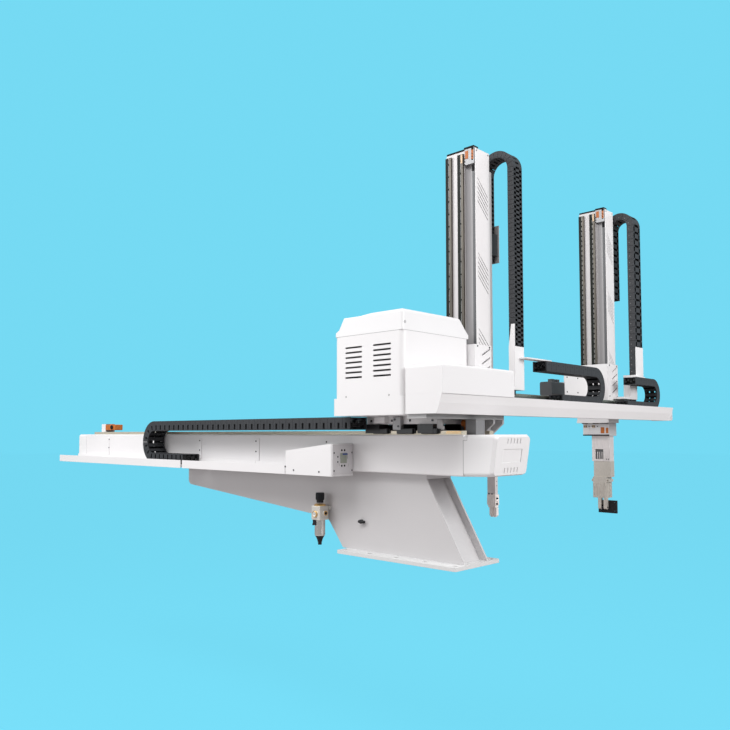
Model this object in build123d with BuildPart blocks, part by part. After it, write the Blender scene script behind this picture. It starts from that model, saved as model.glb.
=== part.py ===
"""Traverse take-out robot for an injection moulding machine, millimetres.

+X runs along the traverse beam towards its moulded end cap, +Y along the crosswise beam,
+Z up. The origin is the centre of the base plate's bottom face.
"""
from build123d import *
import os
from math import cos, pi, radians, sin

os.makedirs("parts", exist_ok=True)

# Fits
clearance = 0.3
sheet = 3.0

# Base plate and welded pedestal
base_length = 650.0
base_width = 300.0
base_thickness = 15.0
bolt_pitch = 150.0
bolt_columns = 5
bolt_row_spacing = 236.0
bolt_hole_radius = 11.0
pedestal_top = 340.0
pedestal_width = 160.0
pedestal_wall = 10.0
pedestal_right_bottom = 318.0
pedestal_right_top = 130.0
pedestal_left_bottom = -355.0
pedestal_knee_x = -455.0
pedestal_knee_z = 141.0
knee_radius = 60.0
arm_end_x = -1607.0
arm_end_z = 243.0
arm_end_radius = 30.0
web_inset = 34.0
flange_thickness = 20.0

# Traverse beam
beam_left = -2790.0
beam_right = 344.0
beam_width = 240.0
beam_height = 161.0
beam_wall = 8.0
beam_bottom = pedestal_top + flange_thickness
beam_top = beam_bottom + beam_height
right_cap_length = 155.0
right_cap_tilt = 25.0
left_cap_length = 115.0
cap_corner = 16.0
flute_count = 5
flute_pitch = 22.0
flute_depth = 3.0
rail_width = 28.0
rail_height = 16.0
rail_offset = 92.0
rail_left = -2706.0
rail_right = 330.0
belt_width = 40.0
belt_thickness = 4.0
belt_gap = 4.0
stop_width = 60.0
left_stop_height = 70.0
right_stop_height = 60.0
stop_reach = 50.0
stop_pad_length = 35.0
stop_pad_radius = 13.0
left_stop_x = -2742.0
right_stop_x = 340.0

# Cable trays and the terminal box
tray_front = -250.0
tray_floor_z = 357.0
tray_skirt = 15.0
tray_lip_height = 42.0
tray_left = -2905.0
tray_split = -1420.0
tray_split_gap = 16.0
terminal_left = -562.0
terminal_right = -254.0
terminal_left_top = 448.0
terminal_right_top = 483.0
tray_rib_places = (-2500.0, -1456.0, -948.0)
panel_thickness = 4.0

# Filter-regulator
filter_x = -466.0
filter_body_width = 60.0
filter_body_depth = 55.0
filter_body_bottom = 150.0
filter_body_height = 55.0
filter_standoff = 12.0
bowl_radius = 24.0
bowl_length = 88.0
drain_length = 31.0
knob_radius = 23.0
knob_height = 42.0
gauge_radius = 20.0
fitting_x = -236.0
fitting_z = 140.0

# Carriage on the traverse beam
carriage_left = -187.0
carriage_right = 205.0
carriage_front = -100.0
carriage_back = 110.0
carriage_thickness = 33.0
bearing_length = 80.0
bearing_width = 56.0
bearing_rise = 28.0
carriage_bottom = beam_top + rail_height + bearing_rise
carriage_top = carriage_bottom + carriage_thickness

# Control box
box_front = -300.0
box_back = 127.0
box_skirt_left = -198.0
box_skirt_right = 201.0
box_skirt_height = 72.0
box_left = -182.0
box_right = 193.0
lid_seam = 927.0
lid_height = 83.0
box_corner = 20.0
louvre_columns = (-119.0, 38.0)
louvre_length = 94.0
louvre_slot = 7.0
louvre_pitch = 20.5
louvre_count = 7
louvre_bottom = 754.0

# Crosswise beam
cross_left = 248.0
cross_right = 350.0
cross_near = -290.0
cross_far = 1850.0
cross_bottom = 603.0
cross_floor = 658.0
cross_spine_width = 26.0
cross_top = 690.0
cross_rail_width = 22.0
cross_rail_height = 12.0
cover_edge_x = 380.0
cover_fold_z = 640.0
cover_top = 674.0
far_plate_right = 374.0
near_cover_top = 785.0
near_cover_end = 180.0
near_cover_right = 384.0
near_cover_left = 206.0
bracket_thickness = 20.0
bracket_end = 229.0
bracket_right = 300.0

# Vertical arms, given from the arm's own front face
runner_y = 170.0
product_y = 1400.0
arm_left = 51.0
arm_width = 153.0
arm_depth = 92.0
arm_bottom = 580.0
arm_top = 1768.0
arm_right = arm_left + arm_width
channel_width = 52.0
channel_depth = 18.0
cavity_left = 90.0
cavity_width = 107.0
cavity_front = 23.0
cavity_depth = 55.0
arm_rail_width = 30.0
arm_rail_height = 10.0
arm_rail_places = (67.0, 132.0)
rail_setback = 14.0
head_height = 73.0
end_block_height = 66.0
end_block_left = 53.0
end_block_right = 207.0
slit_groups = (1464.0, 1134.0, 804.0)
slit_count = 6
slit_rise = 72.0
slit_pitch = 20.0
slit_width = 5.0

# Saddles that carry the arms on the crosswise beam
saddle_plate = 12.0
saddle_gap = 28.0
saddle_top = 905.0
saddle_bottom = 597.0
saddle_flange = 13.0
saddle_flange_left = 37.0
saddle_side_inner = 216.0
saddle_side_outer = 224.0
saddle_side_back = 82.0
saddle_deck_z = 714.0
saddle_deck_front = 20.0
grille_bottom = 745.0
grille_height = 150.0
arm_block_length = 80.0
arm_block_width = 54.0
arm_block_places = (620.0, 800.0)

# Drag chains
chain_wall = 5.0
chain_inset = 1.5
crossbar_share = 0.42
cross_clamp = 5.7


def block(x0, x1, y0, y1, z0, z1, mode=Mode.ADD):
    """Box between two corners, in the part that is being built."""
    with Locations(((x0 + x1) / 2, (y0 + y1) / 2, (z0 + z1) / 2)):
        Box(x1 - x0, y1 - y0, z1 - z0, mode=mode)


def prism(plane, points, length, mode=Mode.ADD):
    """Outline drawn on a plane and extruded along its normal, in the part that is being built."""
    with BuildSketch(plane) as outline:
        with BuildLine():
            Polyline(points, close=True)
        make_face()
    extrude(outline.sketch, amount=length, mode=mode)


def along_x(x):
    return Plane((x, 0, 0), x_dir=(0, 1, 0), z_dir=(1, 0, 0))


def along_y(y):
    return Plane((0, y, 0), x_dir=(-1, 0, 0), z_dir=(0, 1, 0))


def mirrored(points):
    """Points as (x, z) for a plane whose own first axis runs towards -X."""
    return [(-x, z) for x, z in points]


def save(builder, name):
    builder.part.label = name
    export_step(builder.part, f"parts/{name}.step")


def bolt_places():
    """Base plate holes, two rows along the long edges."""
    return GridLocations(bolt_pitch, bolt_row_spacing, bolt_columns, 2)


# Base plate
with BuildPart() as base_plate:
    with BuildSketch(Plane.XY) as base_outline:
        RectangleRounded(base_length, base_width, 8)
        with bolt_places():
            Circle(bolt_hole_radius, mode=Mode.SUBTRACT)
    extrude(amount=base_thickness)
save(base_plate, "base_plate")

# Side plates of the pedestal, in one piece with the arm that runs under the beam
side_outline = mirrored([
    (pedestal_right_bottom, base_thickness),
    (pedestal_right_top, pedestal_top),
    (arm_end_x, pedestal_top),
    (arm_end_x, arm_end_z),
    (pedestal_knee_x, pedestal_knee_z),
    (pedestal_left_bottom, base_thickness),
])
with BuildPart() as side_plates:
    for side in (-1, 1):
        inner_face = side * (pedestal_width / 2 - pedestal_wall)
        start = inner_face if side > 0 else inner_face - pedestal_wall
        with BuildSketch(along_y(start)) as side_sketch:
            with BuildLine():
                Polyline(side_outline, close=True)
            make_face()
            knee = side_sketch.vertices().sort_by_distance((-pedestal_knee_x, pedestal_knee_z))[0]
            fillet(knee, knee_radius)
            tip = side_sketch.vertices().sort_by_distance((-arm_end_x, arm_end_z))[0]
            fillet(tip, arm_end_radius)
        extrude(side_sketch.sketch, amount=pedestal_wall)
save(side_plates, "side_plates")

# Web plates between the side plates: the slanted right one and the folded underside
web_half = pedestal_width / 2 - pedestal_wall
web_wall = 8.0
with BuildPart() as web_plates:
    prism(
        along_y(-web_half),
        mirrored([
            (pedestal_right_bottom - web_inset - web_wall, base_thickness),
            (pedestal_right_bottom - web_inset, base_thickness),
            (pedestal_right_top - web_inset, pedestal_top),
            (pedestal_right_top - web_inset - web_wall, pedestal_top),
        ]),
        2 * web_half,
    )
    under_lift = 18.0
    prism(
        along_y(-web_half),
        mirrored([
            (pedestal_left_bottom + under_lift, base_thickness),
            (pedestal_left_bottom + under_lift + web_wall, base_thickness),
            (pedestal_knee_x + under_lift + web_wall, pedestal_knee_z + under_lift),
            (arm_end_x + under_lift + web_wall, arm_end_z + under_lift + web_wall),
            (arm_end_x + under_lift + web_wall, pedestal_top),
            (arm_end_x + under_lift, pedestal_top),
            (arm_end_x + under_lift, arm_end_z + under_lift),
            (pedestal_knee_x + under_lift, pedestal_knee_z + under_lift - web_wall),
        ]),
        2 * web_half,
    )
save(web_plates, "web_plates")

# Flange that the beam is bolted to
with BuildPart() as top_flange:
    block(arm_end_x, pedestal_right_top, -pedestal_width / 2, pedestal_width / 2, pedestal_top, beam_bottom)
save(top_flange, "top_flange")

# Traverse beam, a hollow box section
beam_middle_z = beam_bottom + beam_height / 2
with BuildPart() as traverse_beam:
    with BuildSketch(Plane((beam_left, 0, beam_middle_z), x_dir=(0, 1, 0), z_dir=(1, 0, 0))):
        RectangleRounded(beam_width, beam_height, 6)
        Rectangle(beam_width - 2 * beam_wall, beam_height - 2 * beam_wall, mode=Mode.SUBTRACT)
    extrude(amount=beam_right - beam_left)
save(traverse_beam, "traverse_beam")

# Moulded right end cap with a tilted face, two rows of flutes and a sunk centre panel
cap_bevel = 14.0
face_middle_x = beam_right + right_cap_length - right_cap_tilt / 2
face_plane = Plane(
    (face_middle_x, 0, beam_middle_z),
    x_dir=(0, 1, 0),
    z_dir=(beam_height, 0, -right_cap_tilt),
)
with BuildPart() as right_end_cap:
    with BuildSketch(Plane((beam_right, 0, beam_middle_z), x_dir=(0, 1, 0), z_dir=(1, 0, 0))):
        RectangleRounded(beam_width, beam_height, cap_corner)
    with BuildSketch(face_plane.offset(-cap_bevel)):
        RectangleRounded(beam_width, beam_height, cap_corner)
    with BuildSketch(face_plane):
        RectangleRounded(beam_width - cap_bevel, beam_height - cap_bevel, cap_corner)
    loft(ruled=True)
    with BuildSketch(face_plane) as cap_marks:
        for row in (-1, 1):
            with Locations((0, row * (beam_height / 2 - 24))):
                with GridLocations(flute_pitch, 1, flute_count, 1):
                    SlotOverall(22, 8, rotation=90)
        Rectangle(130, 52)
    extrude(cap_marks.sketch, amount=-flute_depth, mode=Mode.SUBTRACT)
save(right_end_cap, "right_end_cap")

with BuildPart() as left_end_cap:
    with BuildSketch(Plane((beam_left - left_cap_length, 0, beam_middle_z), x_dir=(0, 1, 0), z_dir=(1, 0, 0))):
        RectangleRounded(beam_width, beam_height, cap_corner)
    extrude(amount=left_cap_length)
    fillet(left_end_cap.faces().sort_by(Axis.X)[0].edges(), 9)
save(left_end_cap, "left_end_cap")

# Guide rails and the fixed drive belt on the beam
with BuildPart() as traverse_rails:
    for side in (-1, 1):
        middle = side * rail_offset
        block(rail_left, rail_right, middle - rail_width / 2, middle + rail_width / 2,
              beam_top, beam_top + rail_height)
save(traverse_rails, "traverse_rails")

belt_bottom = beam_top + belt_gap
with BuildPart() as traverse_belt:
    block(left_stop_x + stop_reach, right_stop_x - stop_reach, -belt_width / 2, belt_width / 2,
          belt_bottom, belt_bottom + belt_thickness)
save(traverse_belt, "traverse_belt")

# Belt clamps with an upright that carries each end stop
end_stops = ((left_stop_x, 1, left_stop_height), (right_stop_x, -1, right_stop_height))
with BuildPart() as stop_brackets:
    for place, inward, height in end_stops:
        low, high = sorted((place, place + inward * stop_reach))
        block(low, high, -stop_width / 2, stop_width / 2, beam_top, beam_top + height)
save(stop_brackets, "stop_brackets")

with BuildPart() as stop_pads:
    for place, inward, height in end_stops:
        pad_start = (place + inward * stop_reach, 0, beam_top + height - stop_pad_radius)
        with Locations(Location(pad_start, (0, inward * 90, 0))):
            Cylinder(stop_pad_radius, stop_pad_length, align=(Align.CENTER, Align.CENTER, Align.MIN))
save(stop_pads, "stop_pads")

# Cable trays along the front of the beam
beam_front = -beam_width / 2
with BuildPart() as cable_trays:
    tray_ends = (
        (tray_left, tray_split - tray_split_gap / 2),
        (tray_split + tray_split_gap / 2, terminal_left),
    )
    for start_x, end_x in tray_ends:
        prism(
            along_x(start_x),
            [
                (tray_front, tray_floor_z - tray_skirt),
                (tray_front + sheet, tray_floor_z - tray_skirt),
                (tray_front + sheet, tray_floor_z),
                (beam_front, tray_floor_z),
                (beam_front, beam_bottom + 30),
                (beam_front - sheet, beam_bottom + 30),
                (beam_front - sheet, tray_floor_z + sheet),
                (tray_front + sheet, tray_floor_z + sheet),
                (tray_front + sheet, tray_floor_z - tray_skirt + tray_lip_height),
                (tray_front, tray_floor_z - tray_skirt + tray_lip_height),
            ],
            end_x - start_x,
        )
save(cable_trays, "cable_trays")

# Brackets of the trays: an upright strap on the beam and a small gusset under the tray
pedestal_front = -pedestal_width / 2
rib_wall = 8.0
strap_width = 36.0
strap_wall = 4.0
strap_bottom = 390.5
strap_top = 500.0
gusset_drop = 24.0
gusset_setback = 20.0
with BuildPart() as tray_brackets:
    for place in tray_rib_places:
        prism(
            along_x(place),
            [
                (tray_front + gusset_setback, tray_floor_z - gusset_drop / 2),
                (pedestal_front, tray_floor_z - gusset_drop),
                (pedestal_front, tray_floor_z),
                (tray_front + gusset_setback, tray_floor_z),
            ],
            rib_wall,
        )
        block(place, place + strap_width, beam_front - strap_wall, beam_front, strap_bottom, strap_top)
        block(place, place + rib_wall, beam_front - strap_wall, beam_front - sheet,
              tray_floor_z + sheet, strap_bottom)
        block(place, place + rib_wall, beam_front, pedestal_front, tray_floor_z, beam_bottom)
save(tray_brackets, "tray_brackets")

# Terminal box with a sloping top, and the inlet panel on its end
with BuildPart() as terminal_box:
    terminal_bottom = tray_floor_z - tray_skirt
    terminal_outline = mirrored([
        (terminal_left, terminal_bottom),
        (terminal_right, terminal_bottom),
        (terminal_right, terminal_right_top),
        (terminal_left, terminal_left_top),
    ])
    prism(along_y(tray_front), terminal_outline, beam_front - tray_front)
    fillet(terminal_box.edges().filter_by(Axis.Z).group_by(Axis.Y)[0], 8)
save(terminal_box, "terminal_box")

panel_margin = 4.0
with BuildPart() as inlet_panel:
    block(terminal_right, terminal_right + panel_thickness,
          tray_front + panel_margin, beam_front - panel_margin,
          terminal_bottom + 2 * panel_margin, terminal_right_top - panel_margin)
    panel_face = inlet_panel.faces().sort_by(Axis.X)[-1]
    with BuildSketch(Plane(panel_face.center(), x_dir=(0, 1, 0), z_dir=(1, 0, 0))) as inlet_cuts:
        with Locations((0, 14)):
            Rectangle(58, 26)
        with GridLocations(56, 1, 2, 1):
            with Locations((0, -26)):
                Circle(9)
    extrude(inlet_cuts.sketch, amount=-panel_thickness / 2, mode=Mode.SUBTRACT)
save(inlet_panel, "inlet_panel")

# Filter-regulator on the front plate
filter_back = pedestal_front - filter_standoff
filter_y = filter_back - filter_body_depth / 2
filter_top = filter_body_bottom + filter_body_height
with BuildPart() as filter_body:
    block(filter_x - filter_body_width / 2, filter_x + filter_body_width / 2,
          filter_y - filter_body_depth / 2, filter_back, filter_body_bottom, filter_top)
    fillet(filter_body.edges().filter_by(Axis.Z), 10)
    with Locations((filter_x, filter_y, filter_top)):
        Cylinder(knob_radius + 4, 9, align=(Align.CENTER, Align.CENTER, Align.MIN))
    with Locations((filter_x, filter_y, filter_body_bottom)):
        Cylinder(bowl_radius + 3, 10, align=(Align.CENTER, Align.CENTER, Align.MAX))
    block(filter_x - 34, filter_x + 34, filter_back, pedestal_front, filter_top - 22, filter_top - 4)
    with Locations(Location((filter_x, filter_y, filter_body_bottom + filter_body_height / 2), (0, 90, 0))):
        Cylinder(13, filter_body_width + 24)
save(filter_body, "filter_body")

ring_bottom = filter_top + 9
with BuildPart() as regulator_knob:
    with BuildSketch(Plane((filter_x, filter_y, ring_bottom + clearance))) as knob_outline:
        Circle(knob_radius)
        with PolarLocations(knob_radius + 1, 12):
            Circle(2.2, mode=Mode.SUBTRACT)
    extrude(amount=knob_height)
    chamfer(regulator_knob.faces().sort_by(Axis.Z)[-1].outer_wire().edges(), 1.5)
save(regulator_knob, "regulator_knob")

bowl_top = filter_body_bottom - 10
with BuildPart() as filter_bowl:
    with BuildSketch(Plane((filter_x, filter_y, 0), x_dir=(1, 0, 0), z_dir=(0, -1, 0))):
        with BuildLine():
            Polyline(
                (0, bowl_top), (bowl_radius, bowl_top), (bowl_radius, bowl_top - bowl_length + 14),
                (bowl_radius - 9, bowl_top - bowl_length), (6, bowl_top - bowl_length),
                (6, bowl_top - bowl_length - drain_length), (0, bowl_top - bowl_length - drain_length),
                close=True,
            )
        make_face()
    revolve(axis=Axis((filter_x, filter_y, 0), (0, 0, 1)))
save(filter_bowl, "filter_bowl")

with BuildPart() as pressure_gauge:
    gauge_z = filter_body_bottom + filter_body_height / 2
    gauge_back = filter_y - filter_body_depth / 2
    with Locations(Location((filter_x, gauge_back, gauge_z), (90, 0, 0))):
        Cylinder(7, 8, align=(Align.CENTER, Align.CENTER, Align.MIN))
    with Locations(Location((filter_x, gauge_back - 8, gauge_z), (90, 0, 0))):
        Cylinder(gauge_radius, 14, align=(Align.CENTER, Align.CENTER, Align.MIN))
save(pressure_gauge, "pressure_gauge")

with BuildPart() as air_fitting:
    with Locations(Location((fitting_x, pedestal_front, fitting_z), (90, 0, 0))):
        Cylinder(9, 12, align=(Align.CENTER, Align.CENTER, Align.MIN))
    with Locations(Location((fitting_x + 8, pedestal_front - 12, fitting_z), (0, 90, 0))):
        Cylinder(6, 34)
save(air_fitting, "air_fitting")


def drag_chain(name, plane, radius, height, width, moving_length, fixed_length, pitch):
    """Cable carrier: two side bands joined by the crossbars of its links.

    On the plane, +x points at the bend, the moving strand lies at +y and the fixed one at -y.
    """
    outer = radius + height / 2
    inner = radius - height / 2
    with BuildPart() as chain:
        with BuildSketch(plane, plane.offset(width - chain_wall)):
            with BuildLine():
                Line((-moving_length, outer), (0, outer))
                ThreePointArc((0, outer), (outer, 0), (0, -outer))
                Polyline((0, -outer), (-fixed_length, -outer), (-fixed_length, -inner), (0, -inner))
                ThreePointArc((0, -inner), (inner, 0), (0, inner))
                Polyline((0, inner), (-moving_length, inner), (-moving_length, outer))
            make_face()
        extrude(amount=chain_wall)
        places = []
        for link in range(int(moving_length // pitch)):
            places.append(((link + 0.5) * -pitch, radius, 0))
        for link in range(int(fixed_length // pitch)):
            places.append(((link + 0.5) * -pitch, -radius, 0))
        bend_links = max(3, int(pi * radius / pitch))
        for link in range(bend_links):
            turn = 90 - (link + 0.5) * 180 / bend_links
            places.append((radius * cos(radians(turn)), radius * sin(radians(turn)), turn - 90))
        reach = (height - chain_wall) / 2 - chain_inset
        seats = []
        for x, y, turn in places:
            for side in (-1, 1):
                at_x = x - side * reach * sin(radians(turn))
                at_y = y + side * reach * cos(radians(turn))
                seats.append(plane.location * Location((at_x, at_y, width / 2), (0, 0, turn)))
        with Locations(seats):
            Box(pitch * crossbar_share, chain_wall, width - chain_wall)
    save(chain, name)


# Traverse cable chain in the tray, its bend towards the left end
traverse_chain_height = 54.0
traverse_chain_bottom = tray_floor_z + sheet + clearance
traverse_chain_top = carriage_top - 2.0
traverse_chain_radius = (traverse_chain_top - traverse_chain_bottom - traverse_chain_height) / 2
traverse_chain_width = 104.0
traverse_chain_back = -126.0
traverse_bend_x = -1738.0
traverse_chain_axis_z = (traverse_chain_top + traverse_chain_bottom) / 2
traverse_chain_fixed = 300.0
traverse_clamp_x = carriage_left + 126.0
drag_chain(
    "traverse_chain",
    Plane(
        (traverse_bend_x, traverse_chain_back - traverse_chain_width, traverse_chain_axis_z),
        x_dir=(-1, 0, 0),
        z_dir=(0, 1, 0),
    ),
    traverse_chain_radius, traverse_chain_height, traverse_chain_width,
    traverse_clamp_x - traverse_bend_x, traverse_chain_fixed, 46.0,
)

# Carriage plate with a tongue on its front that takes the moving end of the chain from behind
tongue_length = 60.0
with BuildPart() as carriage_plate:
    block(carriage_left, carriage_right, carriage_front, carriage_back, carriage_bottom, carriage_top)
    block(traverse_clamp_x - tongue_length, traverse_clamp_x, traverse_chain_back + clearance,
          carriage_front, carriage_bottom + 4, traverse_chain_top)
save(carriage_plate, "carriage_plate")

with BuildPart() as traverse_bearings:
    for side in (-1, 1):
        for place in (carriage_left + 10, carriage_right - 10 - bearing_length):
            middle = side * rail_offset
            half = bearing_width / 2
            groove = rail_width / 2 + clearance
            block(place, place + bearing_length, middle - half, middle + half, beam_top + 6, carriage_bottom)
            block(place, place + bearing_length, middle - groove, middle + groove,
                  beam_top + 6, beam_top + rail_height + clearance, mode=Mode.SUBTRACT)
save(traverse_bearings, "traverse_bearings")

# Belt drive of the traverse: gear housing through the plate and an upright motor
drive_x = 0.0
housing_half = 50.0
with BuildPart() as traverse_drive:
    block(drive_x - housing_half, drive_x + housing_half, -housing_half, housing_half,
          carriage_top, carriage_top + 90)
    with Locations((drive_x, 0, carriage_top + 90)):
        Cylinder(42, 150, align=(Align.CENTER, Align.CENTER, Align.MIN))
    block(drive_x + 8, drive_x + 40, 30, 62, carriage_top + 200, carriage_top + 236)
save(traverse_drive, "traverse_drive")

# Control box of folded sheet on the carriage plate
skirt_top = carriage_top + box_skirt_height


def sheet_ring(x0, x1, y0, y1, z0, z1, wall):
    """Four upright sheet walls with rounded corners."""
    middle = ((x0 + x1) / 2, (y0 + y1) / 2)
    with BuildSketch(Plane((middle[0], middle[1], z0))) as ring:
        RectangleRounded(x1 - x0, y1 - y0, box_corner)
        RectangleRounded(x1 - x0 - 2 * wall, y1 - y0 - 2 * wall, box_corner - wall, mode=Mode.SUBTRACT)
    extrude(ring.sketch, amount=z1 - z0)


with BuildPart() as control_box:
    sheet_ring(box_skirt_left, box_skirt_right, box_front, box_back, carriage_top, skirt_top, sheet)
    sheet_ring(box_left, box_right, box_front, box_back, skirt_top, lid_seam, sheet)
    deck_left = box_skirt_left + box_corner / 2
    deck_right = box_skirt_right - box_corner / 2
    block(deck_left, deck_right, box_front + sheet, box_back - sheet, carriage_top, carriage_top + sheet)
    block(box_skirt_left + sheet, box_left + sheet, box_front + box_corner, box_back - box_corner,
          skirt_top - sheet, skirt_top)
    block(box_right - sheet, box_skirt_right - sheet, box_front + box_corner, box_back - box_corner,
          skirt_top - sheet, skirt_top)
    drive_room = housing_half + 2
    block(drive_x - drive_room, drive_x + drive_room, -drive_room, drive_room,
          carriage_top, carriage_top + sheet, mode=Mode.SUBTRACT)
    for column in louvre_columns:
        for row in range(louvre_count):
            slot_z = louvre_bottom + row * louvre_pitch
            block(column, column + louvre_length, box_front - 1, box_front + sheet + 1,
                  slot_z - louvre_slot / 2, slot_z + louvre_slot / 2, mode=Mode.SUBTRACT)
save(control_box, "control_box")

# Moulded lid with its left and back edges drawn in
lid_top = lid_seam + lid_height
lid_wall = 4.0
lid_step = 8.0
lid_rise_start = box_left + 150
lid_rise_end = box_left + 215
with BuildPart() as box_lid:
    prism(
        along_y(box_front),
        mirrored([
            (box_left, lid_seam), (box_right, lid_seam), (box_right, lid_top),
            (box_left + 60, lid_top), (box_left + 26, lid_seam + 28), (box_left, lid_seam + 14),
        ]),
        box_back - box_front,
    )
    prism(
        along_x(box_left - 1),
        [
            (box_back + 1, lid_seam + 14), (box_back - 27, lid_seam + 40), (box_back - 67, lid_top + 1),
            (box_back + 1, lid_top + 1),
        ],
        box_right - box_left + 2,
        mode=Mode.SUBTRACT,
    )
    fillet(box_lid.edges().filter_by(Axis.Z).group_by(Axis.Y)[0], box_corner / 2)
    fillet(box_lid.faces().sort_by(Axis.Z)[-1].edges(), 12)
    prism(
        along_y(box_front - 1),
        mirrored([
            (box_left - 1, lid_top - lid_step), (lid_rise_start, lid_top - lid_step), (lid_rise_end, lid_top),
            (lid_rise_end, lid_top + 1), (box_left - 1, lid_top + 1),
        ]),
        box_back - box_front + 2,
        mode=Mode.SUBTRACT,
    )
    block(box_left + lid_wall, box_right - lid_wall, box_front + lid_wall, box_back - lid_wall,
          lid_seam, lid_seam + 12, mode=Mode.SUBTRACT)
save(box_lid, "box_lid")

# Servo drives in a row inside the box
with BuildPart() as servo_drives:
    drive_width = 62.0
    drive_depth = 150.0
    drive_height = 170.0
    for index in range(4):
        start_x = box_left + 26 + index * (drive_width + 12)
        drive_front = box_front + 40
        block(start_x, start_x + drive_width, drive_front, drive_front + drive_depth,
              carriage_top + sheet, carriage_top + sheet + drive_height)
save(servo_drives, "servo_drives")

# Crosswise beam: an L section whose spine carries one rail and whose floor carries the chains
spine_right = cross_left + cross_spine_width
with BuildPart() as crosswise_beam:
    prism(
        along_y(cross_near),
        mirrored([
            (cross_left, cross_bottom), (cross_right, cross_bottom), (cross_right, cross_floor),
            (spine_right, cross_floor), (spine_right, cross_top), (cross_left, cross_top),
        ]),
        cross_far - cross_near,
    )
    block(cross_left + 6, cross_right - 6, cross_near, cross_far, cross_bottom + 6, cross_floor - 6,
          mode=Mode.SUBTRACT)
save(crosswise_beam, "crosswise_beam")

top_rail_x = cross_left + cross_spine_width / 2
side_rail_z = cross_bottom + 20
with BuildPart() as crosswise_rails:
    block(top_rail_x - cross_rail_width / 2, top_rail_x + cross_rail_width / 2,
          near_cover_end, cross_far - 10, cross_top, cross_top + cross_rail_height)
    block(cross_left - cross_rail_height, cross_left, box_back + 8, cross_far - 10,
          side_rail_z - cross_rail_width / 2, side_rail_z + cross_rail_width / 2)
save(crosswise_rails, "crosswise_rails")

# Folded cover along the beam's right side, closed by a rounded end
with BuildPart() as beam_cover:
    lip = 18.0
    prism(
        along_y(box_front),
        mirrored([
            (cross_right - lip, cross_bottom - sheet), (cross_right + 6, cross_bottom - sheet),
            (cover_edge_x - 8, cover_fold_z), (cover_edge_x, cover_top), (cover_edge_x - lip, cover_top),
            (cover_edge_x - lip, cover_top - sheet), (cover_edge_x - sheet, cover_top - sheet),
            (cover_edge_x - 8 - sheet, cover_fold_z), (cross_right + 4, cross_bottom),
            (cross_right - lip, cross_bottom),
        ]),
        cross_far - box_front,
    )
    with BuildSketch(along_y(cross_far)) as far_plate:
        with Locations((-(cross_left + far_plate_right) / 2, (cross_bottom - sheet + cover_top) / 2)):
            RectangleRounded(far_plate_right - cross_left, cover_top - cross_bottom + sheet, 10)
    extrude(far_plate.sketch, amount=sheet)
    prism(
        along_y(box_front),
        mirrored([
            (near_cover_left, cross_bottom - sheet), (cross_right + 6, cross_bottom - sheet),
            (cover_edge_x - 8, cover_fold_z), (cover_edge_x, cover_top), (near_cover_left, cover_top),
        ]),
        sheet,
    )
save(beam_cover, "beam_cover")

# Raised cover between the control box and the near end of the crosswise beam
with BuildPart() as near_cover:
    step_y = box_back - 2
    step_x = saddle_side_outer + 8
    outline = [
        (near_cover_left, box_front), (near_cover_right, box_front), (near_cover_right, near_cover_end),
        (step_x, near_cover_end), (step_x, step_y), (near_cover_left, step_y),
    ]
    with BuildSketch(Plane.XY.offset(cover_top)) as near_outline:
        with BuildLine():
            Polyline(outline, close=True)
        make_face()
    extrude(near_outline.sketch, amount=near_cover_top - cover_top)
    fillet(near_cover.faces().sort_by(Axis.Z)[-1].edges(), 10)
    offset(near_cover.part, amount=-sheet, openings=near_cover.faces().sort_by(Axis.Z)[0],
           mode=Mode.REPLACE)
    block(cross_left - clearance, spine_right + clearance, near_cover_end - 2 * sheet, near_cover_end + 1,
          cover_top - 1, cross_top + clearance, mode=Mode.SUBTRACT)
save(near_cover, "near_cover")

# Bracket that carries the crosswise beam beside the carriage plate
bracket_top = cross_bottom
with BuildPart() as beam_bracket:
    with BuildSketch(Plane.XY.offset(bracket_top - bracket_thickness)) as bracket_outline:
        with BuildLine():
            Polyline(
                [
                    (carriage_right, cross_near), (bracket_right, cross_near),
                    (bracket_right, bracket_end), (step_x, bracket_end), (step_x, step_y - 4),
                    (carriage_right, step_y - 4),
                ],
                close=True,
            )
        make_face()
    extrude(bracket_outline.sketch, amount=bracket_thickness)
    gusset_wall = 12.0
    plate_bottom = bracket_top - bracket_thickness
    gusset_start = 150.0
    gusset_drop = 62.0
    gusset_tip = 16.0
    for place in (gusset_start, bracket_end - gusset_wall):
        prism(
            along_y(place),
            mirrored([
                (step_x, plate_bottom), (step_x, plate_bottom - gusset_drop),
                (step_x + gusset_wall, plate_bottom - gusset_drop),
                (bracket_right, plate_bottom - gusset_tip), (bracket_right, plate_bottom),
            ]),
            gusset_wall,
        )
    block(step_x, step_x + gusset_wall, gusset_start, bracket_end, plate_bottom - gusset_drop, plate_bottom)
save(beam_bracket, "beam_bracket")


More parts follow.
